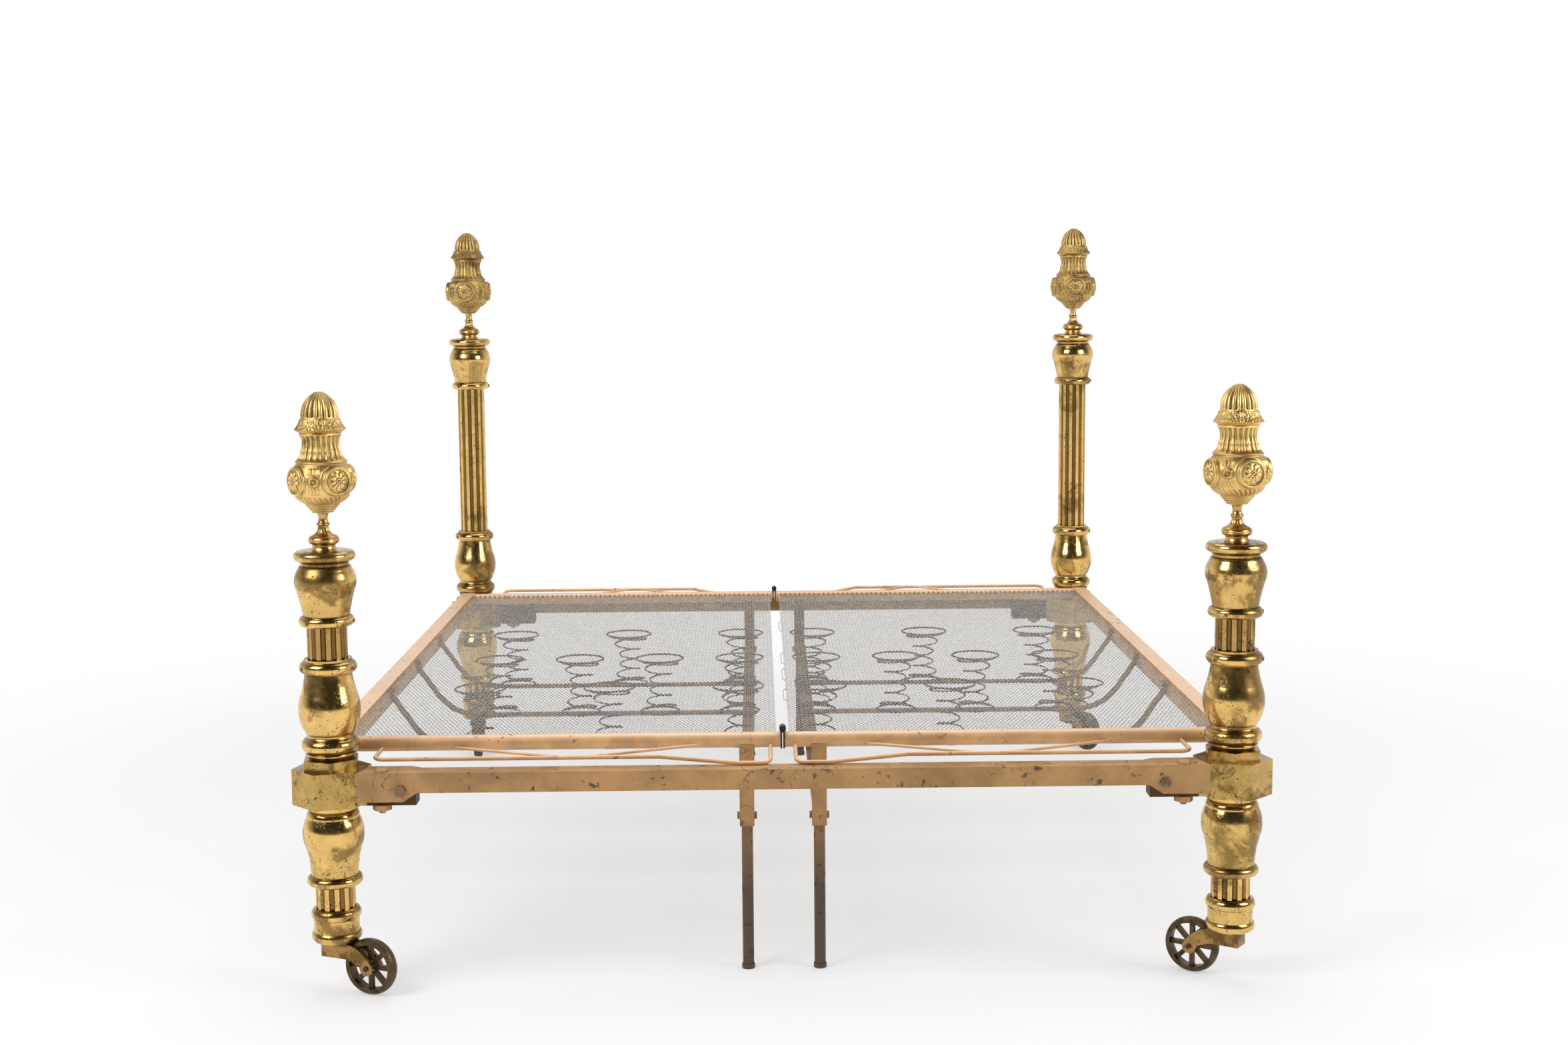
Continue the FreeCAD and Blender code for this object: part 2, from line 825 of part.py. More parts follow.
def hinge_plates():
    """A plate on the inner end of each tube, with one knuckle of the hinge standing on it."""
    plates = []
    for end, y in (("foot", -tube_y), ("head", tube_y)):
        span_y = (y + s.knuckle_gap, y + s.knuckle_gap + s.knuckle_length)
        plate = box(
            f"{end}_plate",
            (s.plate_gap, plate_x),
            (y - s.tube_radius, y + s.tube_radius),
            (tube_z - s.tube_radius, tube_z + s.tube_radius),
        )
        neck = box(f"{end}_plate_neck", (s.plate_gap, plate_x), span_y, (tube_z, hinge_z))
        knuckle = cylinder(f"{end}_knuckle", s.knuckle_radius, s.knuckle_length, 0, span_y[0], hinge_z, "Y")
        eye_radius = s.pin_radius + s.running_gap
        eye = cylinder(f"{end}_knuckle_eye", eye_radius, s.knuckle_length, 0, span_y[0], hinge_z, "Y")
        plates.append(cut(f"{end}_hinge_plate", fuse(f"{end}_plate_body", plate, neck, knuckle), eye))
    return group("hinge_plate_pair", *plates)


def hinge_pins():
    """A headed pin through the two knuckles at each end of the bed."""
    reach = s.knuckle_gap + s.knuckle_length
    pins = []
    for end, y in (("foot", -tube_y), ("head", tube_y)):
        length = 2 * reach + s.pin_head_height
        shank = cylinder(f"{end}_pin_shank", s.pin_radius, length, 0, y - reach, hinge_z, "Y")
        head_y = y - reach - s.pin_head_height
        head = cylinder(f"{end}_pin_head", s.pin_head, s.pin_head_height, 0, head_y, hinge_z, "Y")
        pins.append(fuse(f"{end}_pin", shank, head))
    return node(group("hinge_pins", *pins))


def inner_bar():
    half = s.bar_width / 2
    return box(
        "inner_bar_piece",
        (s.leg_offset - half, s.leg_offset + half),
        (-bracket_back, bracket_back),
        (bar_low, bar_top),
    )


def slat_outline():
    """A flat bar that bends up at its outer end to a tab on the side bar."""
    centre_z = bar_top + s.slat_bend_radius
    turn = s.slat_bend_turn
    upper_radius = s.slat_bend_radius - s.slat_thickness
    slope = sine(turn) / cosine(turn)
    tab_x = side_x - s.slat_thickness
    tab_top = net_low - s.slat_net_gap
    tab_high = tab_top - s.slat_tab
    high_z = centre_z - upper_radius * cosine(turn)
    high_x = tab_x - (tab_high - high_z) / slope
    bend_x = high_x - upper_radius * sine(turn)
    low_x = bend_x + s.slat_bend_radius * sine(turn)
    low_z = centre_z - s.slat_bend_radius * cosine(turn)
    tab_low = low_z + (side_x - low_x) * slope
    bow = 1 - cosine(turn / 2)
    outline = Outline(s.slat_end, bar_top).line(bend_x, bar_top)
    outline.bow(low_x, low_z, s.slat_bend_radius * bow).line(side_x, tab_low)
    outline.line(side_x, tab_top).line(tab_x, tab_top)
    outline.line(tab_x, tab_high).line(high_x, high_z)
    outline.bow(bend_x, slat_top, -upper_radius * bow).line(s.slat_end, slat_top)
    return outline, tab_top - s.slat_tab / 2


def slats():
    pieces = []
    for number, y in enumerate(slat_rows, 1):
        body = add("PartDesign::Body", f"slat_{number}")
        sketch = sketch_on(body, "XZ_Plane")
        draw(sketch, slat_outline()[0])
        pad(body, sketch, s.slat_width, both_ways=True)
        holes = [
            rivet_shank(f"slat_{number}_inner_hole", s.hole_gap, 0),
            tab_rivet_shank(f"slat_{number}_tab_hole", s.hole_gap, 0),
        ]
        drilled = cut(f"slat_{number}_drilled", body, *holes)
        pieces.append(place(drilled, 0, y, 0))
    return group("slat_set", *pieces)


def rivet_shank(label, gap, y):
    """The rivet that holds a slat down on the inner bar."""
    return cylinder(label, s.rivet_radius + gap, slat_top - bar_low, s.leg_offset, y, bar_low)


def tab_rivet_shank(label, gap, y):
    """The rivet that holds a slat's tab against the side bar."""
    length = s.slat_thickness + s.side_thickness
    return cylinder(label, s.rivet_radius + gap, length, side_x - s.slat_thickness, y, slat_outline()[1], "X")


def rivets():
    pieces = []
    tab_z = slat_outline()[1]
    head_x = side_x - s.slat_thickness - s.rivet_head_height
    for number, y in enumerate(slat_rows, 1):
        head = cylinder(f"rivet_{number}_head", s.rivet_head, s.rivet_head_height, s.leg_offset, y, slat_top)
        pieces.append(fuse(f"rivet_{number}", rivet_shank(f"rivet_{number}_shank", 0, y), head))
        tab_head_name = f"tab_rivet_{number}_head"
        tab_head = cylinder(tab_head_name, s.rivet_head, s.rivet_head_height, head_x, y, tab_z, "X")
        shank = tab_rivet_shank(f"tab_rivet_{number}_shank", 0, y)
        pieces.append(fuse(f"tab_rivet_{number}", shank, tab_head))
    return group("rivet_set", *pieces)


def drilled_for_rivets(label, piece, make_hole):
    holes = [make_hole(f"{label}_hole_{number}", s.hole_gap, y) for number, y in enumerate(slat_rows, 1)]
    return cut(label, piece, *holes)


def net():
    """One flat net: a single face with a gap in every mesh, given its thickness."""
    strand = s.net_strand.value
    left = s.net_inner.value
    right = (side_x - s.seat_gap).value
    edge_reach = math.sqrt(s.tube_radius.value ** 2 - s.net_lift.value ** 2)
    half = tube_y.value - edge_reach - s.seat_gap.value
    gap_x = (right - left - strand) / NET_COLUMNS - strand
    gap_y = (2 * half - strand) / NET_ROWS - strand
    wires = [rectangle(left, -half, right - left, 2 * half)]
    for column_number in range(NET_COLUMNS):
        for row_number in range(NET_ROWS):
            x = left + strand + column_number * (gap_x + strand)
            y = -half + strand + row_number * (gap_y + strand)
            wires.append(rectangle(x, y, gap_x, gap_y))
    piece = add("Part::Feature", "net_piece")
    face = Part.Face(wires, "Part::FaceMakerBullseye")
    piece.Shape = face.extrude(Vector(0, 0, s.net_thickness.value))
    return place(piece, 0, 0, net_low)


def rectangle(x, y, width, depth):
    corners = [(x, y), (x + width, y), (x + width, y + depth), (x, y + depth), (x, y)]
    return Part.makePolygon([Vector(*corner, 0) for corner in corners])


# Springs: hourglass coils between the slats and the net

wind_low = s.wire_radius + s.spring_gap
wind_rise = s.spring_height - 2 * wind_low


def spring_radius(share):
    """The coil's radius at a share of its height: full at both ends and drawn in at the waist."""
    edge = s.spring_foot.value if share < 0.5 else s.spring_top.value
    drawn = 4 * share * (1 - share)
    return edge + (s.spring_waist.value - edge) * drawn


def spring_point(angle):
    share = angle / (2 * math.pi * SPRING_TURNS)
    radius = spring_radius(share)
    height = wind_low.value + wind_rise.value * share
    return Vector(radius * math.cos(angle), radius * math.sin(angle), height)


def spring_heading(angle):
    step = 0.001
    return (spring_point(angle + step) - spring_point(angle - step)).normalize()


def biarc(first, first_heading, last, last_heading):
    """Two arcs that leave one point and reach another along given headings."""
    across = last - first
    both = first_heading + last_heading
    a = 2 * (1 - first_heading.dot(last_heading))
    b = 2 * across.dot(both)
    c = -across.dot(across)
    reach = (-b + math.sqrt(b * b - 4 * a * c)) / (2 * a)
    joint = (first + first_heading * reach + last - last_heading * reach) / 2
    edges = []
    for start, heading, end in ((first, first_heading, joint), (last, -last_heading, joint)):
        chord = end - start
        aside = (heading - chord * (heading.dot(chord) / chord.dot(chord))).normalize()
        rise = chord.Length / 2 * math.tan(heading.getAngle(chord) / 2)
        middle = (start + end) / 2 + aside * rise
        edges.append((start, middle, end))
    (p1, m1, e1), (p2, m2, e2) = edges
    return [Part.Arc(p1, m1, e1).toShape(), Part.Arc(e2, m2, p2).toShape()]


def spring_shape():
    pieces = int(2 * math.pi * SPRING_TURNS / QUARTER_TURN)
    edges = []
    for piece in range(pieces):
        first = piece * QUARTER_TURN
        last = first + QUARTER_TURN
        edges += biarc(spring_point(first), spring_heading(first), spring_point(last), spring_heading(last))
    spine = Part.Wire(edges)
    section = Part.Wire(Part.Circle(spring_point(0), spring_heading(0), s.wire_radius.value).toShape())
    return spine.makePipeShell([section], True, False)


def spring_self_gap():
    """The least gap between neighbouring turns of a spring, measured on points of its middle line."""
    steps_per_turn = 72
    points = [
        spring_point(2 * math.pi * step / steps_per_turn)
        for step in range(steps_per_turn * SPRING_TURNS + 1)
    ]
    apart = steps_per_turn // 2
    least = min(
        (points[first] - points[second]).Length
        for first in range(len(points))
        for second in range(first + apart, len(points))
    )
    return least - 2 * s.wire_radius.value


def springs():
    shape = spring_shape()
    pieces = []
    for y, count in zip(slat_rows, SPRING_COUNTS):
        pitch = (side_x - s.spring_side_gap - s.spring_inner) / (count - 1)
        for number in range(count):
            coil = add("Part::Feature", f"spring_{len(pieces) + 1}")
            coil.Shape = shape
            pieces.append(place(coil, s.spring_inner + pitch * number, y, slat_top))
    return group("spring_set", *pieces)


# Mattress guards: a bent rod in front of each end tube, braced back to it


def rounded_path(corners, radius):
    """Straight runs through the corners, with an arc of the given radius at each bend."""
    edges = []
    start = corners[0]
    for before, corner, after in zip(corners, corners[1:], corners[2:]):
        back = (before - corner).normalize()
        on = (after - corner).normalize()
        half_turn = back.getAngle(on) / 2
        reach = radius / math.tan(half_turn)
        middle = corner + (back + on).normalize() * (radius / math.sin(half_turn) - radius)
        edges.append(Part.LineSegment(start, corner + back * reach).toShape())
        edges.append(Part.Arc(corner + back * reach, middle, corner + on * reach).toShape())
        start = corner + on * reach
    edges.append(Part.LineSegment(start, corners[-1]).toShape())
    return Part.Wire(edges)


def rod_shape(path, radius):
    first = path.Edges[0]
    section = Part.Circle(first.Vertexes[0].Point, first.tangentAt(first.FirstParameter), radius)
    return path.makePipeShell([Part.Wire(section.toShape())], True, False)


def guard(end, rise):
    """A guard at the foot end, whose bar is seated on the rail by the hinge and then climbs clear of it."""
    rod = s.guard_radius.value
    bar_y = -(post_y + s.rail_front - s.guard_set_back).value
    seat_z = (rail_z + s.seat_gap).value + rod
    back_y = -tube_y.value
    back_z = (tube_z - s.guard_drop).value
    inner = s.guard_inner.value
    outer = (post_x - s.guard_post_gap).value
    seat_x = inner + s.guard_seat.value
    bar_z = seat_z + rise.value
    corners = [
        Vector(inner, back_y, back_z),
        Vector(inner, bar_y, seat_z),
        Vector(seat_x, bar_y, seat_z),
        Vector(seat_x + s.guard_climb.value, bar_y, bar_z),
        Vector(outer, bar_y, bar_z),
        Vector(outer, back_y, back_z),
    ]
    bent = add("Part::Feature", f"{end}_guard_rod")
    bent.Shape = rod_shape(rounded_path(corners, s.guard_bend.value), rod)
    middle = (inner + outer) / 2
    pieces = [bent]
    for name, way in (("inner", -1), ("outer", 1)):
        brace = add("Part::Feature", f"{end}_guard_{name}_brace")
        back = Vector(middle + way * s.brace_spread.value, back_y, back_z)
        front = Vector(middle + way * s.brace_meet.value, bar_y, bar_z)
        brace.Shape = rod_shape(Part.Wire(Part.LineSegment(back, front).toShape()), s.brace_radius.value)
        pieces.append(brace)
    tube = cylinder(f"{end}_guard_tube_cut", s.tube_radius, side_x, 0, -tube_y, tube_z, "X")
    return cut(f"{end}_guard_piece", fuse(f"{end}_guard_frame", *pieces), tube)


# Folding legs


def leg_bracket():
    """A channel under the foot tube, open towards the middle of the bed, that a leg folds out of."""
    inside = s.leg_radius + s.leg_side_gap
    half = inside + s.bracket_wall
    x = (s.leg_offset - half, s.leg_offset + half)
    low = pivot_z - s.bracket_below
    channel = box("bracket_outside", x, (-bracket_y, -bracket_back), (low, tube_z))
    hollow = box(
        "bracket_inside",
        (s.leg_offset - inside, s.leg_offset + inside),
        (-bracket_y + s.bracket_wall, -bracket_back),
        (low, tube_z),
    )
    tube = cylinder("bracket_tube_cut", s.tube_radius, side_x, 0, -tube_y, tube_z, "X")
    hole = bolt_hole("bracket_bolt_hole", s.running_gap)
    return cut("foot_bracket", channel, hollow, tube, hole)


def bolt_hole(label, gap):
    length = 2 * (s.leg_radius + s.leg_side_gap + s.bracket_wall)
    return cylinder(label, s.bolt_radius + gap, length, s.leg_offset - length / 2, -leg_y, pivot_z, "X")


def leg_bolt():
    half = s.leg_radius + s.leg_side_gap + s.bracket_wall
    height = s.bolt_head_height
    shank = bolt_hole("bolt_shank", 0)
    head = hexagon("bolt_head_piece", s.bolt_head, height, s.leg_offset + half, -leg_y, pivot_z, "X")
    nut = hexagon("bolt_nut_piece", s.bolt_head, height, s.leg_offset - half - height, -leg_y, pivot_z, "X")
    return fuse("foot_leg_bolt", shank, head, nut)


def foot_leg():
    length = pivot_z + s.leg_over
    tube = cylinder("leg_outside", s.leg_radius, length, s.leg_offset, -leg_y, 0)
    bore = cylinder("leg_bore", s.leg_radius - s.leg_wall, length, s.leg_offset, -leg_y, 0)
    return cut("foot_leg_piece", tube, bore, bolt_hole("leg_pivot_hole", s.running_gap))


def foot_and_head(label, piece):
    """A pair on one leaf: the piece at its foot end and the mirror image at its head end."""
    return group(label, piece, mirror(f"{label}_head", piece, LENGTHWAYS))


# The assembly

at_posts("ferrules", post_piece("ferrule", ferrule_z, s.stem_radius + s.running_gap))
at_posts("leg_flutes", place(fluted("leg_flute_length", s.leg_flute_height), -post_x, -post_y, flutes_z))
at_posts("leg_vases", post_piece("leg_vase", leg_vase_z, rod_bore))
at_posts("corner_blocks", corner_block())
at_posts("plinth_nuts", plinth_nut())
at_posts("post_vases", post_piece("post_vase", vase_z, rod_bore))
both_ends("columns", column)
both_ends("capitals", top_piece("capital", as_size(0), rod_bore))
both_ends("finial_stems", top_piece("finial_stem", height_of("capital")))
urn_rise = height_of("capital") + height_of("finial_stem")
both_ends("finial_urns", top_piece("finial_urn", urn_rise))
both_ends("finial_tips", top_piece("finial_tip", urn_rise + height_of("finial_urn")))
both_ends("tie_rods", tie_rod)

rail = node(foot_rail())
node(mirror("head_rail", rail, LENGTHWAYS))
at_posts("coach_bolts", coach_bolt())
at_posts("coach_nuts", coach_nut())
at_posts("rail_screws", rail_screw())

for corner_name in CASTER_TURNS:
    horn(corner_name)
    wheel(corner_name)
    axle(corner_name)

left_and_right("foot_tube", end_tube("foot", -tube_y))
left_and_right("head_tube", end_tube("head", tube_y))
left_and_right("side_bar", drilled_for_rivets("side_bar_drilled", side_bar(), tab_rivet_shank))
left_and_right("inner_bar", drilled_for_rivets("inner_bar_drilled", inner_bar(), rivet_shank))
left_and_right("slats", slats())
left_and_right("slat_rivets", rivets())
left_and_right("springs", springs())
left_and_right("net", net())
left_and_right("foot_guard", guard("foot", s.foot_guard_rise))
left_and_right("head_guard", mirror("head_guard_in_place", guard("head", s.head_guard_rise), LENGTHWAYS))
left_and_right("leg_brackets", foot_and_head("bracket_pair", leg_bracket()))
left_and_right("leg_bolts", foot_and_head("bolt_pair", leg_bolt()))
leg = foot_leg()
left_and_right("foot_leg", leg)
left_and_right("head_leg", mirror("head_leg_piece", leg, LENGTHWAYS))

plates_right = hinge_plates()
plates_right.Label = "right_hinge_plates"
node(plates_right)
node(mirror("left_hinge_plates", plates_right, ACROSS, LENGTHWAYS))
hinge_pins()

doc.recompute()

for obj in doc.Objects:
    if "Invalid" in obj.State or "Error" in obj.State:
        raise RuntimeError(f"{obj.Label} did not build: {obj.State}")
for obj in nodes:
    if obj.Shape.isNull() or not obj.Shape.isValid():
        raise RuntimeError(f"{obj.Label} has no valid shape")

print(f"least gap between turns of each spring: {spring_self_gap():.2f} mm")

os.makedirs("parts", exist_ok=True)
for obj in nodes:
    obj.Shape.exportStep(f"parts/{obj.Label}.step")
print(f"{len(nodes)} sub-parts written")
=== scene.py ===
import math

import bmesh
import bpy
from bpy.props import FloatProperty, FloatVectorProperty, IntProperty, PointerProperty
from mathutils import Matrix, Vector


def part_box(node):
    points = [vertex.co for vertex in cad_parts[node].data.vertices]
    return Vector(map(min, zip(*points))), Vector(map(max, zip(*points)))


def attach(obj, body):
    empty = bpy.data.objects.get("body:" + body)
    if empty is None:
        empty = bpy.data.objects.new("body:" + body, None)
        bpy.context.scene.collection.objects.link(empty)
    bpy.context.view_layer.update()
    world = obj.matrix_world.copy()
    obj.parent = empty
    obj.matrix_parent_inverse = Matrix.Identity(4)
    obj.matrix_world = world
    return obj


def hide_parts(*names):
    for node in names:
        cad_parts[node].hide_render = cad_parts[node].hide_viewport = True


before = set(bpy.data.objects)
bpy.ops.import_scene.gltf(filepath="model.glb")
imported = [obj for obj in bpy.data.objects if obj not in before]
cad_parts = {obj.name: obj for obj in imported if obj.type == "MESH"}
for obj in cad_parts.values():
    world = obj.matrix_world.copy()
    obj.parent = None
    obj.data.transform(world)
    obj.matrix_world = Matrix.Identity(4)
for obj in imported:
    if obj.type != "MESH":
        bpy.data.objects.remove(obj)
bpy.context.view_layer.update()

bl_info = {
    "name": "Bronze bed",
    "version": (1, 0, 0),
    "blender": (4, 5, 0),
    "location": "3D View > Sidebar > Bronze bed",
    "description": "Dresses the bronze bedstead and its sprung base",
    "category": "Object",
}

MM = 0.001
FULL_TURN = 2 * math.pi
QUARTER_TURN = math.pi / 2
FRONT = -QUARTER_TURN
UP = Vector((0, 0, 1))
ORIGIN = (0, 0, 0)
POST_X = 850 * MM
POST_Y = 1000 * MM
# Each leaf and end with its way along the axis, and the body that a leaf's pieces ride on
LEAVES = (("left", -1, "bedstead"), ("right", 1, "right_leaf"))
ENDS = (("foot", -1), ("head", 1))
# Each post's side and end, and how far its finial is turned, in degrees
FINIALS = {
    "foot_left": (-1, -1, -3),
    "foot_right": (1, -1, -31),
    "head_left": (-1, 1, 43),
    "head_right": (1, 1, -48),
}
# Heights of the finials and capitals, and where they start on the posts of each end
FINIAL_HEIGHT = 223 * MM
CAPITAL_HEIGHT = 143 * MM
URN_LOW = {-1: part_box("finial_urns")[0].z, 1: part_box("finial_tips")[1].z - FINIAL_HEIGHT}
CAPITAL_LOW = {-1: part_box("capitals")[0].z, 1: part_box("capitals")[1].z - CAPITAL_HEIGHT}
TIP_RISE = 148 * MM
STEM_HEIGHT = 70 * MM


def colour(name, description, *shade):
    return FloatVectorProperty(
        name=name, description=description, subtype="COLOR", size=4, default=(*shade, 1))


def length(name, description, size):
    return FloatProperty(name=name, description=description, subtype="DISTANCE", default=size * MM)


class BedFinishes(bpy.types.PropertyGroup):
    """Colours of the bed's metals and paints."""

    brass: colour("Brass", "Polished brass of the posts", 0.8, 0.52, 0.175)
    gilt: colour("Gilt", "Gilding of the finials", 0.93, 0.64, 0.245)
    tarnish: colour("Tarnish", "Brown film on old brass", 0.17, 0.095, 0.028)
    # Grime also darkens the hollows, where it is painted shade as well as dirt
    grime_and_shade: colour("Grime", "Dark dirt in pits and hollows", 0.035, 0.02, 0.009)
    rail_paint: colour("Rail paint", "Dull gold paint of the end rails", 0.38, 0.212, 0.08)
    block_brass: colour("Block brass", "Browner brass of the corner blocks", 0.54, 0.35, 0.11)
    horn_brass: colour("Horn brass", "Copper brown of the caster horns", 0.42, 0.25, 0.085)
    stem_brass: colour("Stem brass", "Reddish brass of the finials' stems", 0.72, 0.46, 0.17)
    # Near black: painted shade under the rails, over the lugs' own paint
    shaded_lug_paint: colour("Lug paint", "Dirty paint of the lugs under the rails", 0.11, 0.065, 0.025)
    base_paint: colour("Base paint", "Copper gold paint of the sprung base", 0.57, 0.33, 0.15)
    # Paler colour of the upward faces: painted light from above
    top_lit_paint: colour("Dusty paint", "Pale film on the tops of the base", 0.62, 0.42, 0.28)
    bare_iron: colour("Bare iron", "Dark iron where paint has chipped", 0.045, 0.036, 0.03)
    lower_leg_brown: colour("Leg iron", "Dark brown of the legs below their brackets", 0.075, 0.048, 0.03)
    bolt_iron: colour("Bolt iron", "Brown iron of the bolts and rivets", 0.3, 0.19, 0.11)
    bolt_rust: colour("Bolt rust", "Rust on the bolts and rivets", 0.16, 0.09, 0.05)
    hinge_iron: colour("Hinge iron", "Nearly black iron of the hinges", 0.07, 0.048, 0.032)
    hinge_rust: colour("Hinge rust", "Bloom on the hinges", 0.035, 0.025, 0.018)
    screw_brass: colour("Screw brass", "Brown brass of the set screws", 0.34, 0.2, 0.08)
    screw_rust: colour("Screw rust", "Bloom on the set screws", 0.15, 0.085, 0.035)
    wheel_iron: colour("Wheel iron", "Dark metal of the wheels", 0.12, 0.08, 0.04)
    wheel_rust: colour("Wheel rust", "Bloom on the wheels", 0.06, 0.04, 0.022)
    # The nets' grey and bloom are kept dark, also standing in for the shade under the bed: painted shade over
    # the wire's own colour
    net_steel: colour("Net steel", "Grey wire of the nets", 0.3, 0.29, 0.27)
    net_rust: colour("Net rust", "Bloom on the nets", 0.25, 0.235, 0.215)
    spring_steel: colour("Spring steel", "Brown wire of the springs", 0.09, 0.062, 0.04)
    spring_rust: colour("Spring rust", "Bloom on the springs", 0.09, 0.06, 0.04)


class BedSizes(bpy.types.PropertyGroup):
    """Sizes of the pieces that dress the bed."""

    dome_ribs: IntProperty(name="Dome ribs", description="Ribs round a finial's dome", default=20)
    neck_flutes: IntProperty(name="Neck flutes", description="Flutes round a finial's neck", default=22)
    medallions: IntProperty(name="Medallions", description="Rosettes round a finial's belly", default=4)
    medallion_radius: length("Medallion radius", "Outer radius of a rosette's border", 26)
    link_width: length("Link width", "Space between neighbouring wires of a net", 4.2)
    link_length: length("Link length", "Length of one zigzag of a net's wire", 22)
    net_wire: length("Net wire", "Radius of a net's wire", 0.68)
    spring_wire: length("Spring wire", "Radius of a spring's wire", 2)
    hook_wire: length("Hook wire", "Radius of the wire of a net's hooks and clips", 0.9)
    screw_radius: length("Set screw radius", "Radius of a collar's set screw", 4.2)


# Shader building

MIX_SHARE, MIX_FIRST, MIX_SECOND, MIX_COLOUR = 0, 6, 7, 2
# The part of a noise's range that is stretched over the whole of a mask
NOISE_LOW, NOISE_HIGH = 0.3, 0.7


def finish(name):
    """One of the bed's colours."""
    return tuple(getattr(bpy.context.scene.bed_finishes, name))


def shaded(shade, times):
    """A colour made darker or brighter."""
    return (*(min(1.0, channel * times) for channel in shade[:3]), 1)


def feed(tree, socket, value):
    """Link a socket's value from another node, or set it."""
    if isinstance(value, bpy.types.NodeSocket):
        tree.links.new(value, socket)
    else:
        socket.default_value = value


def add_node(tree, kind, inputs=None, **settings):
    node = tree.nodes.new(kind)
    for name, value in settings.items():
        setattr(node, name, value)
    for name, value in (inputs or {}).items():
        feed(tree, node.inputs[name], value)
    return node


def sums(tree, operation, *values):
    return add_node(tree, "ShaderNodeMath", dict(enumerate(values)), operation=operation).outputs[0]


def vectors(tree, operation, inputs):
    return add_node(tree, "ShaderNodeVectorMath", inputs, operation=operation).outputs


def along_axis(tree, vector, axis):
    return add_node(tree, "ShaderNodeSeparateXYZ", {0: vector}).outputs[axis]


def ramp(tree, value, low, high, first=0.0, last=1.0):
    inputs = {"Value": value, "From Min": low, "From Max": high, "To Min": first, "To Max": last}
    return add_node(tree, "ShaderNodeMapRange", inputs, interpolation_type="SMOOTHSTEP").outputs[0]


def fall(tree, value, low, high, first=1.0):
    return ramp(tree, value, low, high, first, 0.0)


def mixed(tree, share, first, second, kind="MIX"):
    inputs = {MIX_SHARE: share, MIX_FIRST: first, MIX_SECOND: second}
    return add_node(tree, "ShaderNodeMix", inputs, data_type="RGBA", blend_type=kind).outputs[MIX_COLOUR]


def layer(tree, under, shade, mask, share):
    """A colour laid over another by a share of a mask."""
    return mixed(tree, sums(tree, "MULTIPLY", mask, share), under, shade)


def grain(tree, place, scale, detail, roughness, distortion=0.0):
    inputs = {"Vector": place, "Scale": scale, "Detail": detail, "Roughness": roughness,
              "Distortion": distortion}
    return add_node(tree, "ShaderNodeTexNoise", inputs).outputs["Fac"]


def clouds(tree, noise, first=0.0, last=1.0):
    return ramp(tree, noise, NOISE_LOW, NOISE_HIGH, first, last)


def cover(tree, cloud, amount, edge):
    """The part of a cloud that an amount from 0 to 1 covers, fading out over an edge."""
    bare = sums(tree, "SUBTRACT", 1.0, amount)
    return ramp(tree, sums(tree, "SUBTRACT", cloud, bare), 0.0, edge)


def on_object(tree):
    return add_node(tree, "ShaderNodeTexCoord").outputs["Object"]


def facing_up(tree, low, high):
    """A mask of the faces that point up."""
    normal = add_node(tree, "ShaderNodeNewGeometry").outputs["Normal"]
    return ramp(tree, along_axis(tree, normal, "Z"), low, high)


def from_post(tree, place):
    """Distance from the axis of the nearest post."""
    quarter = vectors(tree, "ABSOLUTE", {0: place})
    apart = vectors(tree, "SUBTRACT", {0: quarter[0], 1: (POST_X, POST_Y, 0)})
    level = vectors(tree, "MULTIPLY", {0: apart[0], 1: (1, 1, 0)})
    return vectors(tree, "LENGTH", {0: level[0]})["Value"]


def new_group(name, inputs, outputs):
    group = bpy.data.node_groups.new(name, "ShaderNodeTree")
    for label, default in inputs.items():
        socket = group.interface.new_socket(label, in_out="INPUT", socket_type="NodeSocketFloat")
        socket.default_value = default
    for label in outputs:
        group.interface.new_socket(label, in_out="OUTPUT", socket_type="NodeSocketFloat")
    given = group.nodes.new("NodeGroupInput").outputs
    return group, given, group.nodes.new("NodeGroupOutput").inputs


def use_group(tree, name, **values):
    node = add_node(tree, "ShaderNodeGroup", node_tree=bpy.data.node_groups[name])
    for label, value in values.items():
        feed(tree, node.inputs[label.replace("_", " ").title()], value)
    return node.outputs


def tarnish_group():
    """Brown patches, small pits in clusters, and a few crooked dark lines."""
    inputs = {"Patch Scale": 7, "Patch Amount": 0.45, "Pit Scale": 260, "Pit Amount": 0.4,
              "Crack Amount": 0.3}
    group, given, leave = new_group("tarnish", inputs, ("Patches", "Pits", "Cracks", "Cloud"))
    place = on_object(group)
    cloud = clouds(group, grain(group, place, given["Patch Scale"], 7, 0.66, 0.5))
    feed(group, leave["Cloud"], cloud)
    feed(group, leave["Patches"], cover(group, cloud, given["Patch Amount"], edge=0.3))
    spot_low, spot_high = 0.56, 0.66
    spots = ramp(group, grain(group, place, given["Pit Scale"], 2, 0.5, 0.3), spot_low, spot_high)
    clusters_in_patch = 3.1
    cluster_scale = sums(group, "MULTIPLY", given["Patch Scale"], clusters_in_patch)
    cluster = clouds(group, grain(group, place, cluster_scale, 4, 0.7, 0.8))
    pits = sums(group, "MULTIPLY", spots, cover(group, cluster, given["Pit Amount"], edge=0.2))
    feed(group, leave["Pits"], pits)
    wander = add_node(group, "ShaderNodeTexNoise", {"Vector": place, "Scale": 23, "Detail": 4})
    shift = vectors(group, "SCALE", {0: wander.outputs["Color"], "Scale": 0.06})
    bent = vectors(group, "ADD", {0: place, 1: shift[0]})
    cells = add_node(
        group, "ShaderNodeTexVoronoi", {"Vector": bent[0], "Scale": 17}, feature="DISTANCE_TO_EDGE")
    line_dark, line_clear = 0.004, 0.013
    lines = fall(group, cells.outputs["Distance"], line_dark, line_clear)
    where = clouds(group, grain(group, place, 11, 2, 0.5))
    cracks = sums(group, "MULTIPLY", lines, cover(group, where, given["Crack Amount"], edge=0.08))
    feed(group, leave["Cracks"], cracks)


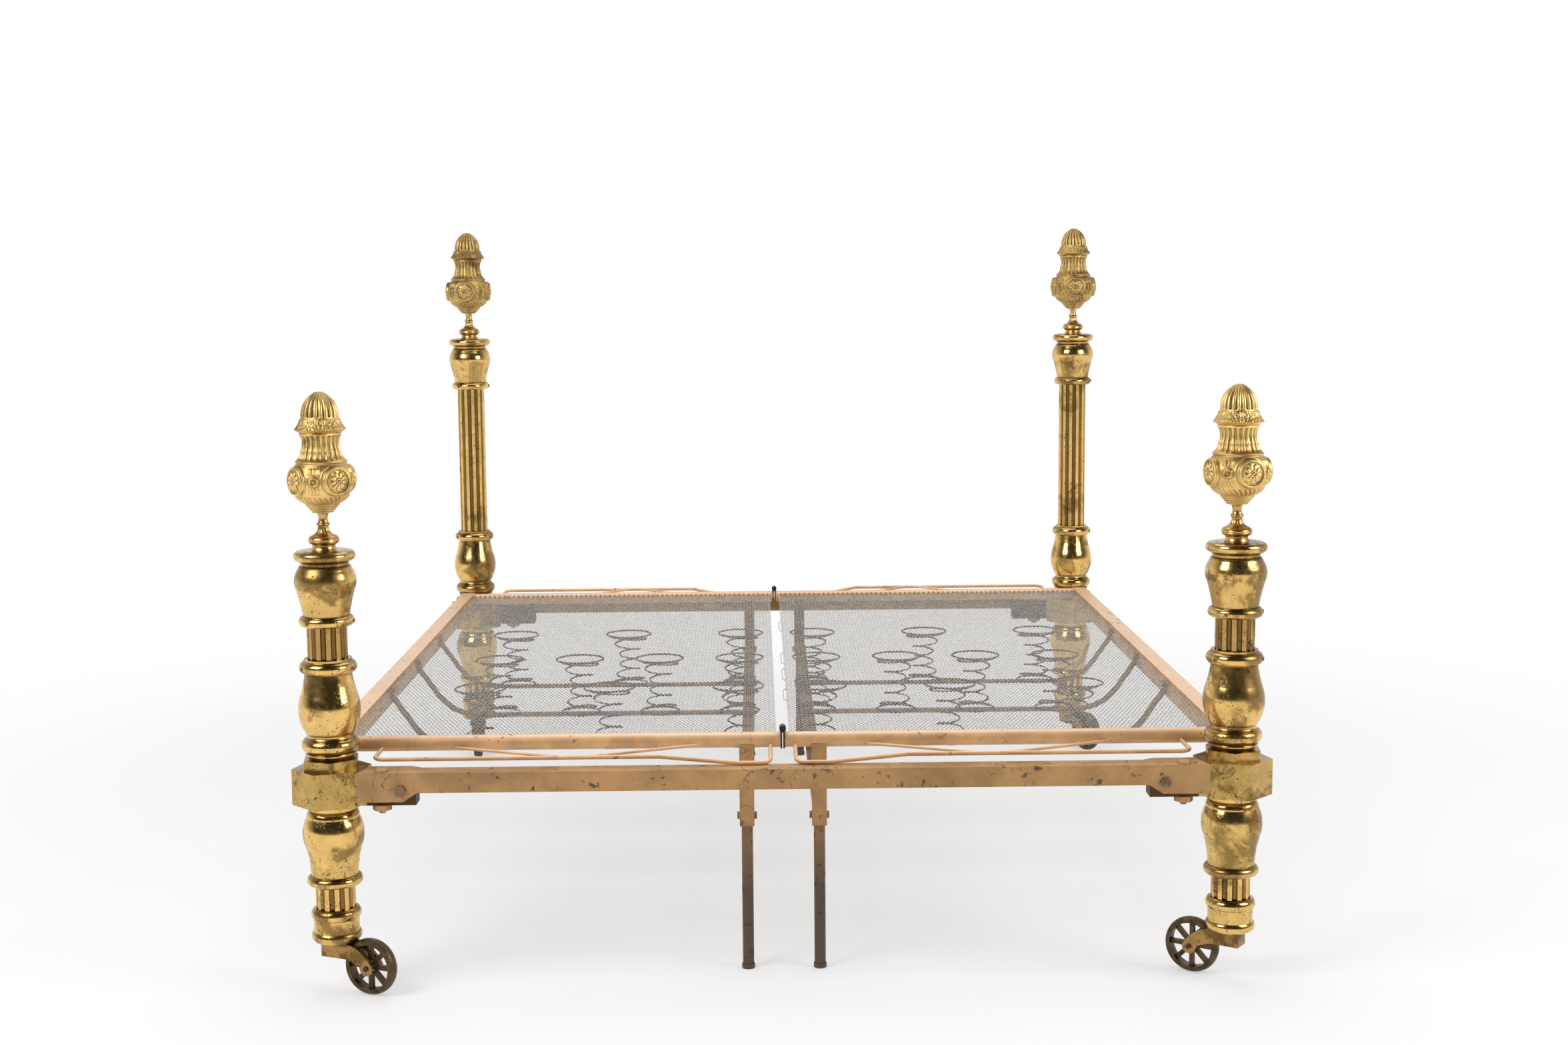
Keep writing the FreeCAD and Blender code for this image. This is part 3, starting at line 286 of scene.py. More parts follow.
def hollows_group():
    """Darkening in the hollows of a piece, found by ambient occlusion: painted shade, and the dirt and patina
    of old metal.
    """
    inputs = {"Reach": 10 * MM, "Shallow": 0.85, "Deep": 0.4}
    group, given, leave = new_group("hollows", inputs, ("Shade And Dirt",))
    shade = add_node(
        group, "ShaderNodeAmbientOcclusion", {"Distance": given["Reach"]}, samples=6, only_local=True)
    shade_and_dirt = fall(group, shade.outputs["AO"], given["Deep"], given["Shallow"])
    feed(group, leave["Shade And Dirt"], shade_and_dirt)


def edges_group():
    """Wear along the sharp edges of a piece, broken up by grain."""
    inputs = {"Width": 2 * MM, "Break Scale": 60, "Amount": 0.6}
    group, given, leave = new_group("edges", inputs, ("Wear",))
    rounded = add_node(group, "ShaderNodeBevel", {"Radius": given["Width"]}, samples=4)
    flat = add_node(group, "ShaderNodeNewGeometry")
    turn = vectors(group, "DOT_PRODUCT", {0: rounded.outputs["Normal"], 1: flat.outputs["Normal"]})
    worn, whole_face = 0.8, 0.99
    edge = fall(group, turn["Value"], worn, whole_face)
    gap, mark = 0.38, 0.6
    broken = ramp(group, grain(group, on_object(group), given["Break Scale"], 5, 0.7), gap, mark)
    wear = sums(group, "MULTIPLY", edge, sums(group, "MULTIPLY", broken, given["Amount"]))
    feed(group, leave["Wear"], wear)


def new_material(name, **sockets):
    material = bpy.data.materials.new(name)
    material.use_nodes = True
    tree = material.node_tree
    shader = tree.nodes["Principled BSDF"]
    for label, value in sockets.items():
        shader.inputs[label.replace("_", " ").title()].default_value = value
    return tree, shader


def give_bump(tree, shader, height, strength, distance):
    inputs = {"Height": height, "Strength": strength, "Distance": distance}
    feed(tree, shader.inputs["Normal"], add_node(tree, "ShaderNodeBump", inputs).outputs["Normal"])


# Radii between which the painted shade and tarnish in a flute's channel fade out, and where a lug starts
# inside its post's axis
FLUTE_SHADE_AND_TARNISH_FULL = 33.4 * MM
FLUTE_SHADE_AND_TARNISH_GONE = 36.6 * MM
FLUTE_SHADE_AND_TARNISH_SHARE = 0.88
LUG_START = POST_X - 74 * MM
# How far along the bed the browning of one end is complete
END_REACH = 0.9
BROWN_SHARE = 0.75
MARK_SHARE = 0.75


def old_brass(name, shade, patch=0.5, pit=0.48, crack=0.32, gloss=0.12, shade_and_dirt=0.85, reach=16 * MM,
              patch_scale=7, shallow=0.9, shaded_lug_paint=False, fluted=False, end_tarnish=0.0):
    """Polished brass gone brown in patches and pitted, darkened in its hollows by dirt and painted shade,
    with painted shade on its upward faces and in its flutes.
    """
    tree, shader = new_material(name, metallic=1.0)
    tarnish, grime_and_shade = finish("tarnish"), finish("grime_and_shade")
    wear = use_group(tree, "tarnish", patch_scale=patch_scale, patch_amount=patch, pit_amount=pit,
                     crack_amount=crack)
    hollow = use_group(tree, "hollows", reach=reach, shallow=shallow, deep=shallow - 0.45)["Shade And Dirt"]
    place = on_object(tree)
    film = ramp(tree, grain(tree, place, 31, 5, 0.7), 0.35, NOISE_HIGH, first=0.86, last=1.1)
    skin = mixed(tree, 1.0, finish(shade), film, "MULTIPLY")
    skin = layer(tree, skin, tarnish, wear["Patches"], BROWN_SHARE)
    # Upward faces browned in the tarnish colour: painted shade, standing in for the dark room they reflect
    skin = layer(tree, skin, tarnish, facing_up(tree, low=0.15, high=0.8), BROWN_SHARE)
    if fluted:
        # The flutes' channels browned: painted shade, with the tarnish of old brass
        channel = fall(tree, from_post(tree, place), FLUTE_SHADE_AND_TARNISH_FULL, FLUTE_SHADE_AND_TARNISH_GONE, FLUTE_SHADE_AND_TARNISH_SHARE)
        skin = mixed(tree, channel, skin, tarnish)
    if end_tarnish:
        # Browner towards the head end, or towards the foot end where the share is negative
        full = math.copysign(END_REACH, end_tarnish)
        browned = ramp(tree, along_axis(tree, place, "Y"), 0.0, full, 0.0, abs(end_tarnish))
        skin = mixed(tree, browned, skin, tarnish)
    # Darkening in the hollows by ambient occlusion: painted shade, and dirt and patina
    skin = layer(tree, skin, grime_and_shade, hollow, shade_and_dirt)
    marks = sums(tree, "MAXIMUM", wear["Pits"], wear["Cracks"])
    skin = layer(tree, skin, grime_and_shade, marks, MARK_SHARE)
    # The lugs under the rails coloured near black: painted shade over their paint
    if shaded_lug_paint:
        across = sums(tree, "ABSOLUTE", along_axis(tree, place, "X"))
        inside = fall(tree, across, LUG_START, LUG_START + MM)
        skin = mixed(tree, inside, skin, finish("shaded_lug_paint"))
        marks = sums(tree, "MAXIMUM", marks, inside)
    feed(tree, shader.inputs["Base Color"], skin)
    patch_dull, mark_dull = 0.16, 0.3
    dull = clouds(tree, grain(tree, place, 95, 4, 0.7), gloss, gloss + 0.07)
    dull = sums(tree, "ADD", dull, sums(tree, "MULTIPLY", wear["Patches"], patch_dull))
    rough = sums(tree, "MULTIPLY", sums(tree, "MAXIMUM", marks, hollow), mark_dull)
    feed(tree, shader.inputs["Roughness"], sums(tree, "ADD", dull, rough))
    give_bump(tree, shader, sums(tree, "SUBTRACT", 1.0, marks), strength=0.2, distance=0.5 * MM)


PAINT_EDGE = 1.6 * MM
DARKER_PAINT = 0.55
# Height over which a leg's paint darkens towards its foot, and how ragged the fading is
LEG_FADE = 0.16
LEG_RAGGED = 0.03


def old_paint(name, shade, lit_top=None, chip=0.35, gloss=0.42, metallic=0.25, dark_below=None):
    """Bronze paint, brushed on, rubbed along its edges and chipped to the iron."""
    tree, shader = new_material(name, metallic=metallic)
    wear = use_group(tree, "tarnish", patch_scale=5, patch_amount=0.4, pit_scale=85, pit_amount=chip,
                     crack_amount=chip * 0.4)
    edge = use_group(tree, "edges", width=PAINT_EDGE, amount=0.9)["Wear"]
    hollow = use_group(tree, "hollows", reach=8 * MM)["Shade And Dirt"]
    place = on_object(tree)
    film = clouds(tree, grain(tree, place, 14, 6, 0.65), first=0.8, last=1.12)
    coat = mixed(tree, 1.0, shade, film, "MULTIPLY")
    coat = layer(tree, coat, shaded(shade, DARKER_PAINT), wear["Patches"], share=0.45)
    # Upward faces made paler: painted light from above
    if lit_top is not None:
        coat = layer(tree, coat, lit_top, facing_up(tree, low=0.35, high=0.95), share=0.75)
    if dark_below is not None:
        ragged = sums(tree, "MULTIPLY", sums(tree, "SUBTRACT", wear["Cloud"], 0.5), LEG_RAGGED)
        level = sums(tree, "ADD", along_axis(tree, place, "Z"), ragged)
        dark = ramp(tree, level, dark_below - LEG_FADE, dark_below, first=0.95, last=0.45)
        coat = mixed(tree, dark, coat, finish("lower_leg_brown"))
    # Darkening in the hollows by ambient occlusion: painted shade, and dirt
    coat = layer(tree, coat, finish("grime_and_shade"), hollow, share=0.6)
    marks = sums(tree, "MAXIMUM", sums(tree, "MAXIMUM", wear["Pits"], wear["Cracks"]), edge)
    coat = layer(tree, coat, finish("bare_iron"), marks, share=0.85)
    feed(tree, shader.inputs["Base Color"], coat)
    rub = clouds(tree, grain(tree, place, 60, 5, 0.7), gloss, gloss + 0.14)
    feed(tree, shader.inputs["Roughness"], sums(tree, "ADD", rub, sums(tree, "MULTIPLY", marks, 0.2)))
    brush = sums(tree, "MULTIPLY", grain(tree, place, 240, 4, 0.65), 0.35)
    give_bump(tree, shader, sums(tree, "SUBTRACT", brush, marks), strength=0.4, distance=0.7 * MM)


IRON_EDGE = 1.4 * MM
RUBBED_IRON = 2.6


def old_iron(name, rust, gloss=0.42, metallic=0.85):
    """Dark worn metal with brown bloom and rubbed bright edges."""
    tree, shader = new_material(name, metallic=metallic)
    shade = finish(name)
    place = on_object(tree)
    bloom = ramp(tree, grain(tree, place, 40, 6, 0.7, 0.4), 0.35, 0.68)
    hollow = use_group(tree, "hollows", reach=6 * MM)["Shade And Dirt"]
    edge = use_group(tree, "edges", width=IRON_EDGE, amount=1.0, break_scale=120)["Wear"]
    skin = mixed(tree, bloom, shade, finish(rust))
    skin = layer(tree, skin, shaded(shade, RUBBED_IRON), edge, share=0.7)
    # Darkening in the hollows by ambient occlusion: painted shade, and dirt
    skin = layer(tree, skin, finish("grime_and_shade"), hollow, share=0.6)
    feed(tree, shader.inputs["Base Color"], skin)
    feed(tree, shader.inputs["Roughness"], ramp(tree, bloom, 0.0, 1.0, gloss, gloss + 0.2))
    give_bump(tree, shader, grain(tree, place, 260, 4, 0.65), strength=0.3, distance=0.6 * MM)


# Mesh building

# Points round a chased piece for each of its flutes or ribs
POINTS_PER_MARK = 16


def new_object(name, data):
    made = bpy.data.objects.new(name, data)
    bpy.context.scene.collection.objects.link(made)
    return made


def new_mesh(name, bm, material):
    """Turn a bmesh into an object of one material."""
    mesh = bpy.data.meshes.new(name)
    bm.to_mesh(mesh)
    bm.free()
    mesh.materials.append(bpy.data.materials[material])
    return new_object(name, mesh)


def finish_piece(name, bm, material, body, slot, *replaced, smooth=True, weld=1e-6):
    """Turn a bmesh into a piece that rides on a body."""
    bmesh.ops.remove_doubles(bm, verts=bm.verts, dist=weld)
    bmesh.ops.recalc_face_normals(bm, faces=bm.faces)
    for face in bm.faces:
        face.smooth = smooth
    piece = new_mesh(name, bm, material)
    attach(piece, body)
    if replaced:
        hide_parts(*replaced)


def whole(bm):
    return bm.verts[:] + bm.edges[:] + bm.faces[:]


def only_verts(items):
    return [item for item in items if isinstance(item, bmesh.types.BMVert)]


def set_out(bm, places):
    """Put copies of a shape in its stead, one at each matrix."""
    source = whole(bm)
    for place in places:
        copied = bmesh.ops.duplicate(bm, geom=source)["geom"]
        bmesh.ops.transform(bm, matrix=place, verts=only_verts(copied))
    bmesh.ops.delete(bm, geom=source, context="VERTS")


def rim(ring):
    """The edges between the points of a ring."""
    joined = {edge for vert in ring for edge in vert.link_edges}
    return [edge for edge in joined if all(vert in ring for vert in edge.verts)]


def drawn_on(bm, ring, step):
    """The points at the end of a tube drawn on from a ring."""
    ring = only_verts(bmesh.ops.extrude_edge_only(bm, edges=rim(ring))["geom"])
    bmesh.ops.translate(bm, verts=ring, vec=step)
    return ring


def wire_ring(bm, sides, radius, place):
    """A wire's section, which faces along Y."""
    ring = bmesh.ops.create_circle(bm, segments=sides, radius=radius)["verts"]
    bmesh.ops.rotate(bm, verts=ring, matrix=Matrix.Rotation(QUARTER_TURN, 3, "X"))
    bmesh.ops.translate(bm, verts=ring, vec=place)
    return ring


def outline_points(start, stages, step):
    """Points up a turned outline of straight and bowed stages, about one step apart."""
    points = [Vector((start, 0))]
    for rise, radius, swell in stages:
        first = points[-1]
        last = Vector((radius, first.y + rise))
        count = max(2, round((last - first).length / step))
        outward = Vector((rise, first.x - radius)).normalized()
        for number in range(1, count + 1):
            share = number / count
            points.append(first.lerp(last, share) + outward * (4 * swell * share * (1 - share)))
    return points


def full_spin(bm, geom, steps):
    bmesh.ops.spin(bm, geom=geom, cent=ORIGIN, axis=UP, angle=FULL_TURN, steps=steps, use_merge=True)


def spin_outline(bm, points, steps):
    """Turn an outline of (radius, height) points once round the Z axis."""
    verts = [bm.verts.new((point.x, 0, point.y)) for point in points]
    edges = [bm.edges.new(pair) for pair in zip(verts, verts[1:])]
    full_spin(bm, verts + edges, steps)


def turned_piece(start, stages, step, turns, closed_from, closed_to):
    """A turned outline in mm as a closed piece, with flat ends drawn in to the given radii."""
    bm = bmesh.new()
    stages = [tuple(size * MM for size in stage) for stage in stages]
    points = outline_points(start * MM, stages, step * MM)
    first = Vector((closed_from * MM, 0))
    last = Vector((closed_to * MM, points[-1].y))
    spin_outline(bm, [first] + points + [last], turns)
    return bm


def rolled_ring(bm, radius, thick, level, sides=8, steps=40):
    """A ring of round section about the Z axis."""
    section = wire_ring(bm, sides, thick, (radius, 0, level))
    full_spin(bm, section + rim(section), steps)


def bent_wire(bm, points, radius):
    """A round wire from point to point, closed at its ends."""
    aims = [(last - first).normalized() for first, last in zip(points, points[1:])]
    ring = bmesh.ops.create_circle(bm, segments=6, radius=radius, cap_ends=True)["verts"]
    bmesh.ops.rotate(bm, verts=ring, matrix=UP.rotation_difference(aims[0]).to_matrix())
    bmesh.ops.translate(bm, verts=ring, vec=points[0])
    for number, aim in enumerate(aims):
        ring = drawn_on(bm, ring, points[number + 1] - points[number])
        if number + 1 < len(aims):
            bend = aim.rotation_difference(aims[number + 1]).to_matrix()
            bmesh.ops.rotate(bm, verts=ring, cent=points[number + 1], matrix=bend)
    bmesh.ops.contextual_create(bm, geom=ring)


def at_each_post(bm, name, material, low, *replaced):
    """Stand a copy of a finial's piece on each post, turned as that post's finial is turned."""
    for post, (side, end, turn) in FINIALS.items():
        copied = bm.copy()
        turned = Matrix.Rotation(math.radians(turn), 3, "Z")
        place = (side * POST_X, end * POST_Y, URN_LOW[end] + low)
        bmesh.ops.rotate(copied, verts=copied.verts, matrix=turned)
        bmesh.ops.translate(copied, verts=copied.verts, vec=place)
        finish_piece(f"{post}_{name}", copied, material, "bedstead", "bronze", *replaced)
    bm.free()


def plateau(value, low, high, edge):
    """1 between low and high, easing to 0 over the edge at each end."""
    inside = min(value - low, high - value) / edge
    share = min(1.0, max(0.0, inside))
    return share * share * (3 - 2 * share)


def hump(distance, width):
    """1 at no distance, easing to 0 at the width."""
    share = max(0.0, 1 - (distance / width) ** 2)
    return share * share


def nearest_turn(angle, count, offset=0.0):
    """The angle from the nearest of a count of marks round a circle."""
    pitch = FULL_TURN / count
    return (angle - offset + pitch / 2) % pitch - pitch / 2


def push_out(vert, amount):
    flat = Vector((vert.co.x, vert.co.y, 0))
    if flat.length > MM:
        vert.co += flat.normalized() * amount


def chase(bm, raise_by):
    """Push each point of a turned piece in or out, in mm, by its angle, height and radius in mm."""
    for vert in bm.verts:
        radius = math.hypot(vert.co.x, vert.co.y) / MM
        angle = math.atan2(vert.co.y, vert.co.x)
        push_out(vert, raise_by(angle, vert.co.z / MM, radius) * MM)


class BED_OT_finial_urns(bpy.types.Operator):
    """Chased urns of the four finials: fluted neck, rosettes, gadroons and stepped foot"""

    bl_idname = "bed.finial_urns"
    bl_label = "Finial urns"

    # All in mm. Each stage of an outline: its rise, its radius at the top and how far it bows out
    foot_radius = 19
    stages = ((18, 34, 0), (14, 49, 1.5), (59, 46, 10.5), (4, 48, 0), (20, 37, -3), (27, 37, -3), (6, 38, 1))
    belly_middle = 60.5
    seat_reach = 56.2
    seat_dome = 4.5

    def execute(self, context):
        self.sizes = context.scene.bed_sizes
        turns = self.sizes.neck_flutes * POINTS_PER_MARK
        bm = turned_piece(self.foot_radius, self.stages, 1.1, turns, closed_from=8, closed_to=30)
        chase(bm, self.raised)
        at_each_post(bm, "gilt_urn", "gilt", 0, "finial_urns")
        self.rosettes()
        return {"FINISHED"}

    def raised(self, angle, height, radius):
        if radius < self.foot_radius - 0.5:
            return 0
        return (self.foot(angle, height) + self.neck(angle, height, radius)
                + self.seats(angle, height, radius) + self.bosses(angle, height, radius))

    def foot(self, angle, height):
        """Steps of the foot, and slanting gadroons above them."""
        top, count, depth = 18, 4, 1.1
        steps = depth * math.cos(height / top * count * FULL_TURN) if height < top else 0
        gadroons, bulge, slant = 15, 1.8, 0.17
        band = plateau(height, low=17.5, high=32.5, edge=2.2)
        return steps + band * bulge * (2 * abs(math.cos(gadroons * angle + (height - 25) * slant)) ** 0.8 - 1)

    def neck(self, angle, height, radius):
        """Flutes with round ends."""
        flutes = self.sizes.neck_flutes
        low, high, depth, half_share = 97.5, 144, 3, 0.34
        across = radius * nearest_turn(angle, flutes)
        half = half_share * FULL_TURN * radius / flutes
        past_end = max(0, low + half - height, height - high + half)
        reach = math.hypot(across, past_end)
        return -depth * max(0, 1 - (reach / half) ** 2)

    def seats(self, angle, height, radius):
        """Domed discs that carry the rosettes, each in a ring of low ridges."""
        count = self.sizes.medallions
        turn = nearest_turn(angle, count, FRONT + math.pi / count)
        reach = math.hypot(radius * math.sin(turn), height - self.belly_middle)
        edge = self.sizes.medallion_radius / MM
        slope = 2
        ridge = 0.9 * hump(reach - edge - 4.5, 1.5) * plateau(height, low=33, high=90, edge=3)
        if reach > edge + slope:
            return ridge
        dome = self.seat_dome * max(0, 1 - (reach / (edge - 4)) ** 2)
        flat = (self.seat_reach + dome) / math.cos(turn)
        return ridge + plateau(reach, -edge, edge + slope, slope) * (flat - radius)

    def bosses(self, angle, height, radius):
        """Round bosses between the rosettes, with a fan of leaves above and below each."""
        along = radius * nearest_turn(angle, self.sizes.medallions, FRONT)
        rise = abs(height - self.belly_middle)
        reach = math.hypot(along, rise)
        boss = 3.4 * hump(reach - 7.4, 2.6) + 3.2 * hump(reach, 4) - 1.2 * hump(reach - 11.2, 1.8)
        leaf = abs(math.cos(along * 0.36 * (1 + 12 / (rise + 6))))
        band = plateau(rise, low=12, high=25, edge=2.5)
        fan = 2.4 * leaf ** 1.5 * band * plateau(along, low=-12.5, high=12.5, edge=3)
        return boss + fan

    def rosettes(self):
        """Rosettes of long petals on the domed discs, inside a double border."""
        bm = bmesh.new()
        edge = self.sizes.medallion_radius
        rolled_ring(bm, edge - 2.2 * MM, thick=2.2 * MM, level=0.6 * MM)
        rolled_ring(bm, edge - 5.6 * MM, thick=1.1 * MM, level=1 * MM)
        rolled_ring(bm, 4.6 * MM, thick=1.5 * MM, level=5.6 * MM)
        petals = 9
        petal_size = (7.6 * MM, 4.7 * MM, 2.8 * MM)
        petal_place = (12.4 * MM, 0, 3 * MM)
        petal_tilt = Matrix.Rotation(math.radians(17), 3, "Y")
        for number in range(petals):
            petal = bmesh.ops.create_uvsphere(bm, u_segments=12, v_segments=8, radius=1)["verts"]
            bmesh.ops.scale(bm, verts=petal, vec=petal_size)
            bmesh.ops.rotate(bm, verts=petal, matrix=petal_tilt)
            bmesh.ops.translate(bm, verts=petal, vec=petal_place)
            spread = Matrix.Rotation(number * FULL_TURN / petals, 3, "Z")
            bmesh.ops.rotate(bm, verts=petal, matrix=spread)
        boss = bmesh.ops.create_uvsphere(bm, u_segments=14, v_segments=8, radius=2.9 * MM)["verts"]
        bmesh.ops.translate(bm, verts=boss, vec=(0, 0, 5.4 * MM))
        places = []
        count = self.sizes.medallions
        for number in range(count):
            angle = FRONT + (number + 0.5) * FULL_TURN / count
            stand = Matrix.Rotation(angle, 4, "Z") @ Matrix.Rotation(QUARTER_TURN, 4, "Y")
            out = Vector((math.cos(angle), math.sin(angle), 0)) * self.seat_reach
            places.append(Matrix.Translation((out + UP * self.belly_middle) * MM) @ stand)
        set_out(bm, places)
        at_each_post(bm, "gilt_rosettes", "gilt", 0)


class BED_OT_finial_tips(bpy.types.Operator):
    """Ribbed domes over chased skirts, at the tops of the four finials"""

    bl_idname = "bed.finial_tips"
    bl_label = "Finial tips"

    stages = ((6, 47, 0), (19, 36, -2), (2, 34.5, 0), (46, 10, 7.8), (2, 6, 0))

    def execute(self, context):
        self.ribs = context.scene.bed_sizes.dome_ribs
        bm = turned_piece(38, self.stages, 1, self.ribs * POINTS_PER_MARK, closed_from=30, closed_to=0)
        chase(bm, self.raised)
        at_each_post(bm, "gilt_tip", "gilt", TIP_RISE, "finial_tips")
        return {"FINISHED"}

    def raised(self, angle, height, radius):
        groove = 1 - abs(math.cos(angle * self.ribs / 2)) ** 0.7
        dome = -0.12 * radius * groove * plateau(height, low=28.5, high=80, edge=1.8)
        # Rope edge, then rings and leaves up the skirt
        strands, rings = 44, 14
        rope = 0.7 * math.cos(strands * angle) * hump(height - 6, 3)
        band = plateau(height, low=7, high=26, edge=2)
        along = radius * nearest_turn(angle, rings)
        between = radius * nearest_turn(angle, rings, math.pi / rings)
        high_ring = 1.5 * hump(math.hypot(along, height - 20) - 3.2, 1.6)
        low_ring = 1.6 * hump(math.hypot(between, height - 11.5) - 3, 1.7)
        stems = 1.4 * hump(abs(between) - 1.2 - 0.16 * (height - 15), 1.3)
        stems *= plateau(height, low=14, high=26, edge=2)
        leaves = 1.3 * hump(math.hypot(along, (height - 12) * 0.6), 2.4)
        return dome + rope + band * max(high_ring, low_ring, stems, leaves)


class BED_OT_finial_stems(bpy.types.Operator):
    """Stems of the four finials, flared over a ring of petals"""

    bl_idname = "bed.finial_stems"
    bl_label = "Finial stems"

    stages = ((10, 21, -1), (16, 24, 6.5), (19, 10, -4.5), (6, 10, 2.5), (19, 12, -2.4))
    petals = 8

    def execute(self, context):
        bm = turned_piece(24, self.stages, 1, self.petals * POINTS_PER_MARK, closed_from=6, closed_to=6)
        chase(bm, self.raised)
        at_each_post(bm, "gilt_stem", "stem_brass", -STEM_HEIGHT, "finial_stems")
        return {"FINISHED"}

    def raised(self, angle, height, radius):
        ring_groove = -1.2 * hump(height - 18, 1.6)
        petal = abs(math.cos(self.petals / 2 * angle)) ** 0.6
        band = plateau(height, low=26.5, high=45, edge=2)
        return ring_groove + (1.5 * petal - 1.3) * band * min(1, radius / 16)


class BED_OT_set_screws(bpy.types.Operator):
    """Slotted set screws round the rings of the posts"""

    bl_idname = "bed.set_screws"
    bl_label = "Set screws"

    def execute(self, context):
        bm = bmesh.new()
        self.screw(bm, context.scene.bed_sizes.screw_radius)
        places = []
        screws = 3
        vase_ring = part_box("post_vases")[0].z + 174 * MM
        for side, end, _ in FINIALS.values():
            capital_ring = CAPITAL_LOW[end] + 10 * MM
            # Each ring's height, its reach from the axis and its first screw's turn from the front
            for level, reach, first in ((vase_ring, 53.4 * MM, -54), (capital_ring, 51.4 * MM, -32)):
                place = Matrix.Translation((side * POST_X, end * POST_Y, level))
                for number in range(screws):
                    angle = FRONT + math.radians(first) + number * FULL_TURN / screws
                    out = Matrix.Rotation(angle, 4, "Z") @ Matrix.Translation((reach, 0, 0))
                    aimed = Matrix.Rotation(QUARTER_TURN, 4, "Y") @ Matrix.Rotation(angle, 4, "Z")
                    places.append(place @ out @ aimed)
        set_out(bm, places)
        finish_piece("post_set_screws", bm, "screw_brass", "bedstead", "bronze", smooth=False)
        return {"FINISHED"}

    def screw(self, bm, radius):
        """A round head sawn across, on a shank that goes into the ring."""
        slot, head, shank, sunk = 0.6 * MM, 1.6 * MM, 6 * MM, 2.9 * MM
        bmesh.ops.create_cone(
            bm, cap_ends=True, segments=16, radius1=radius, radius2=0.8 * radius, depth=head)
        bmesh.ops.translate(bm, verts=bm.verts, vec=(0, 0, head / 2))
        bmesh.ops.bisect_plane(
            bm, geom=whole(bm), plane_co=(0, slot, 0), plane_no=(0, 1, 0), clear_inner=True)
        bmesh.ops.holes_fill(bm, edges=bm.edges)
        bmesh.ops.mirror(bm, geom=whole(bm), matrix=Matrix.Identity(4), merge_dist=0, axis="Y")
        stem = bmesh.ops.create_cone(
            bm, cap_ends=True, segments=16, radius1=radius, radius2=radius, depth=shank)
        bmesh.ops.translate(bm, verts=stem["verts"], vec=(0, 0, -sunk))


class BED_OT_nets(bpy.types.Operator):
    """Nets of linked zigzag wires, hung between the end tubes of each leaf"""

    bl_idname = "bed.nets"
    bl_label = "Nets"

    sag = 1.5 * MM

    def execute(self, context):
        sizes = context.scene.bed_sizes
        for side, way, body in LEAVES:
            low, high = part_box(f"{side}_net")
            inner = min(abs(low.x), abs(high.x))
            outer = max(abs(low.x), abs(high.x)) - sizes.net_wire
            level = (low.z + high.z) / 2
            for end, lengthways in ENDS:
                bm = self.links(sizes, outer - inner, high.y)
                bmesh.ops.translate(bm, verts=bm.verts, vec=(inner, 0, level))
                bmesh.ops.scale(bm, verts=bm.verts, vec=(way, lengthways, 1))
                for vert in bm.verts:
                    self.settle(vert, high.y, inner, outer)
                finish_piece(f"{side}_{end}_wire_net", bm, "net_steel", body, "net_wire", f"{side}_net",
                             smooth=False)
        return {"FINISHED"}

    def links(self, sizes, width, reach):
        """Half a leaf's net, from the middle of the bed outwards."""
        wires = int(width / sizes.link_width) // 2
        rows = int(reach / sizes.link_length)
        across = width / (2 * wires)
        along = reach / rows
        bm = bmesh.new()
        # Two neighbouring wires zigzag towards each other and link where they meet
        for start, legs in ((0, (1, -1)), (2 * across, (-1, 1))):
            ring = wire_ring(bm, 3, sizes.net_wire, (start, 0, 0))
            for leg in legs:
                ring = drawn_on(bm, ring, (leg * (across + sizes.net_wire), along / 2, 0))
        self.repeat(bm, (0, along, 0), rows)
        bmesh.ops.remove_doubles(bm, verts=bm.verts, dist=1e-5)
        self.repeat(bm, (2 * across, 0, 0), wires)
        return bm

    def repeat(self, bm, step, count):
        """Set copies of what is there side by side."""
        bmesh.ops.spin(bm, geom=whole(bm), cent=ORIGIN, axis=UP, dvec=step, angle=0, steps=count - 1,
                       use_duplicate=True)

    def settle(self, vert, half, inner, outer):
        """Let the net hang a little between the tubes."""
        share_y = abs(vert.co.y) / half
        share_x = (abs(vert.co.x) - inner) / (outer - inner)
        vert.co.z -= self.sag * ((1 - share_y ** 2) * 4 * share_x * (1 - share_x))


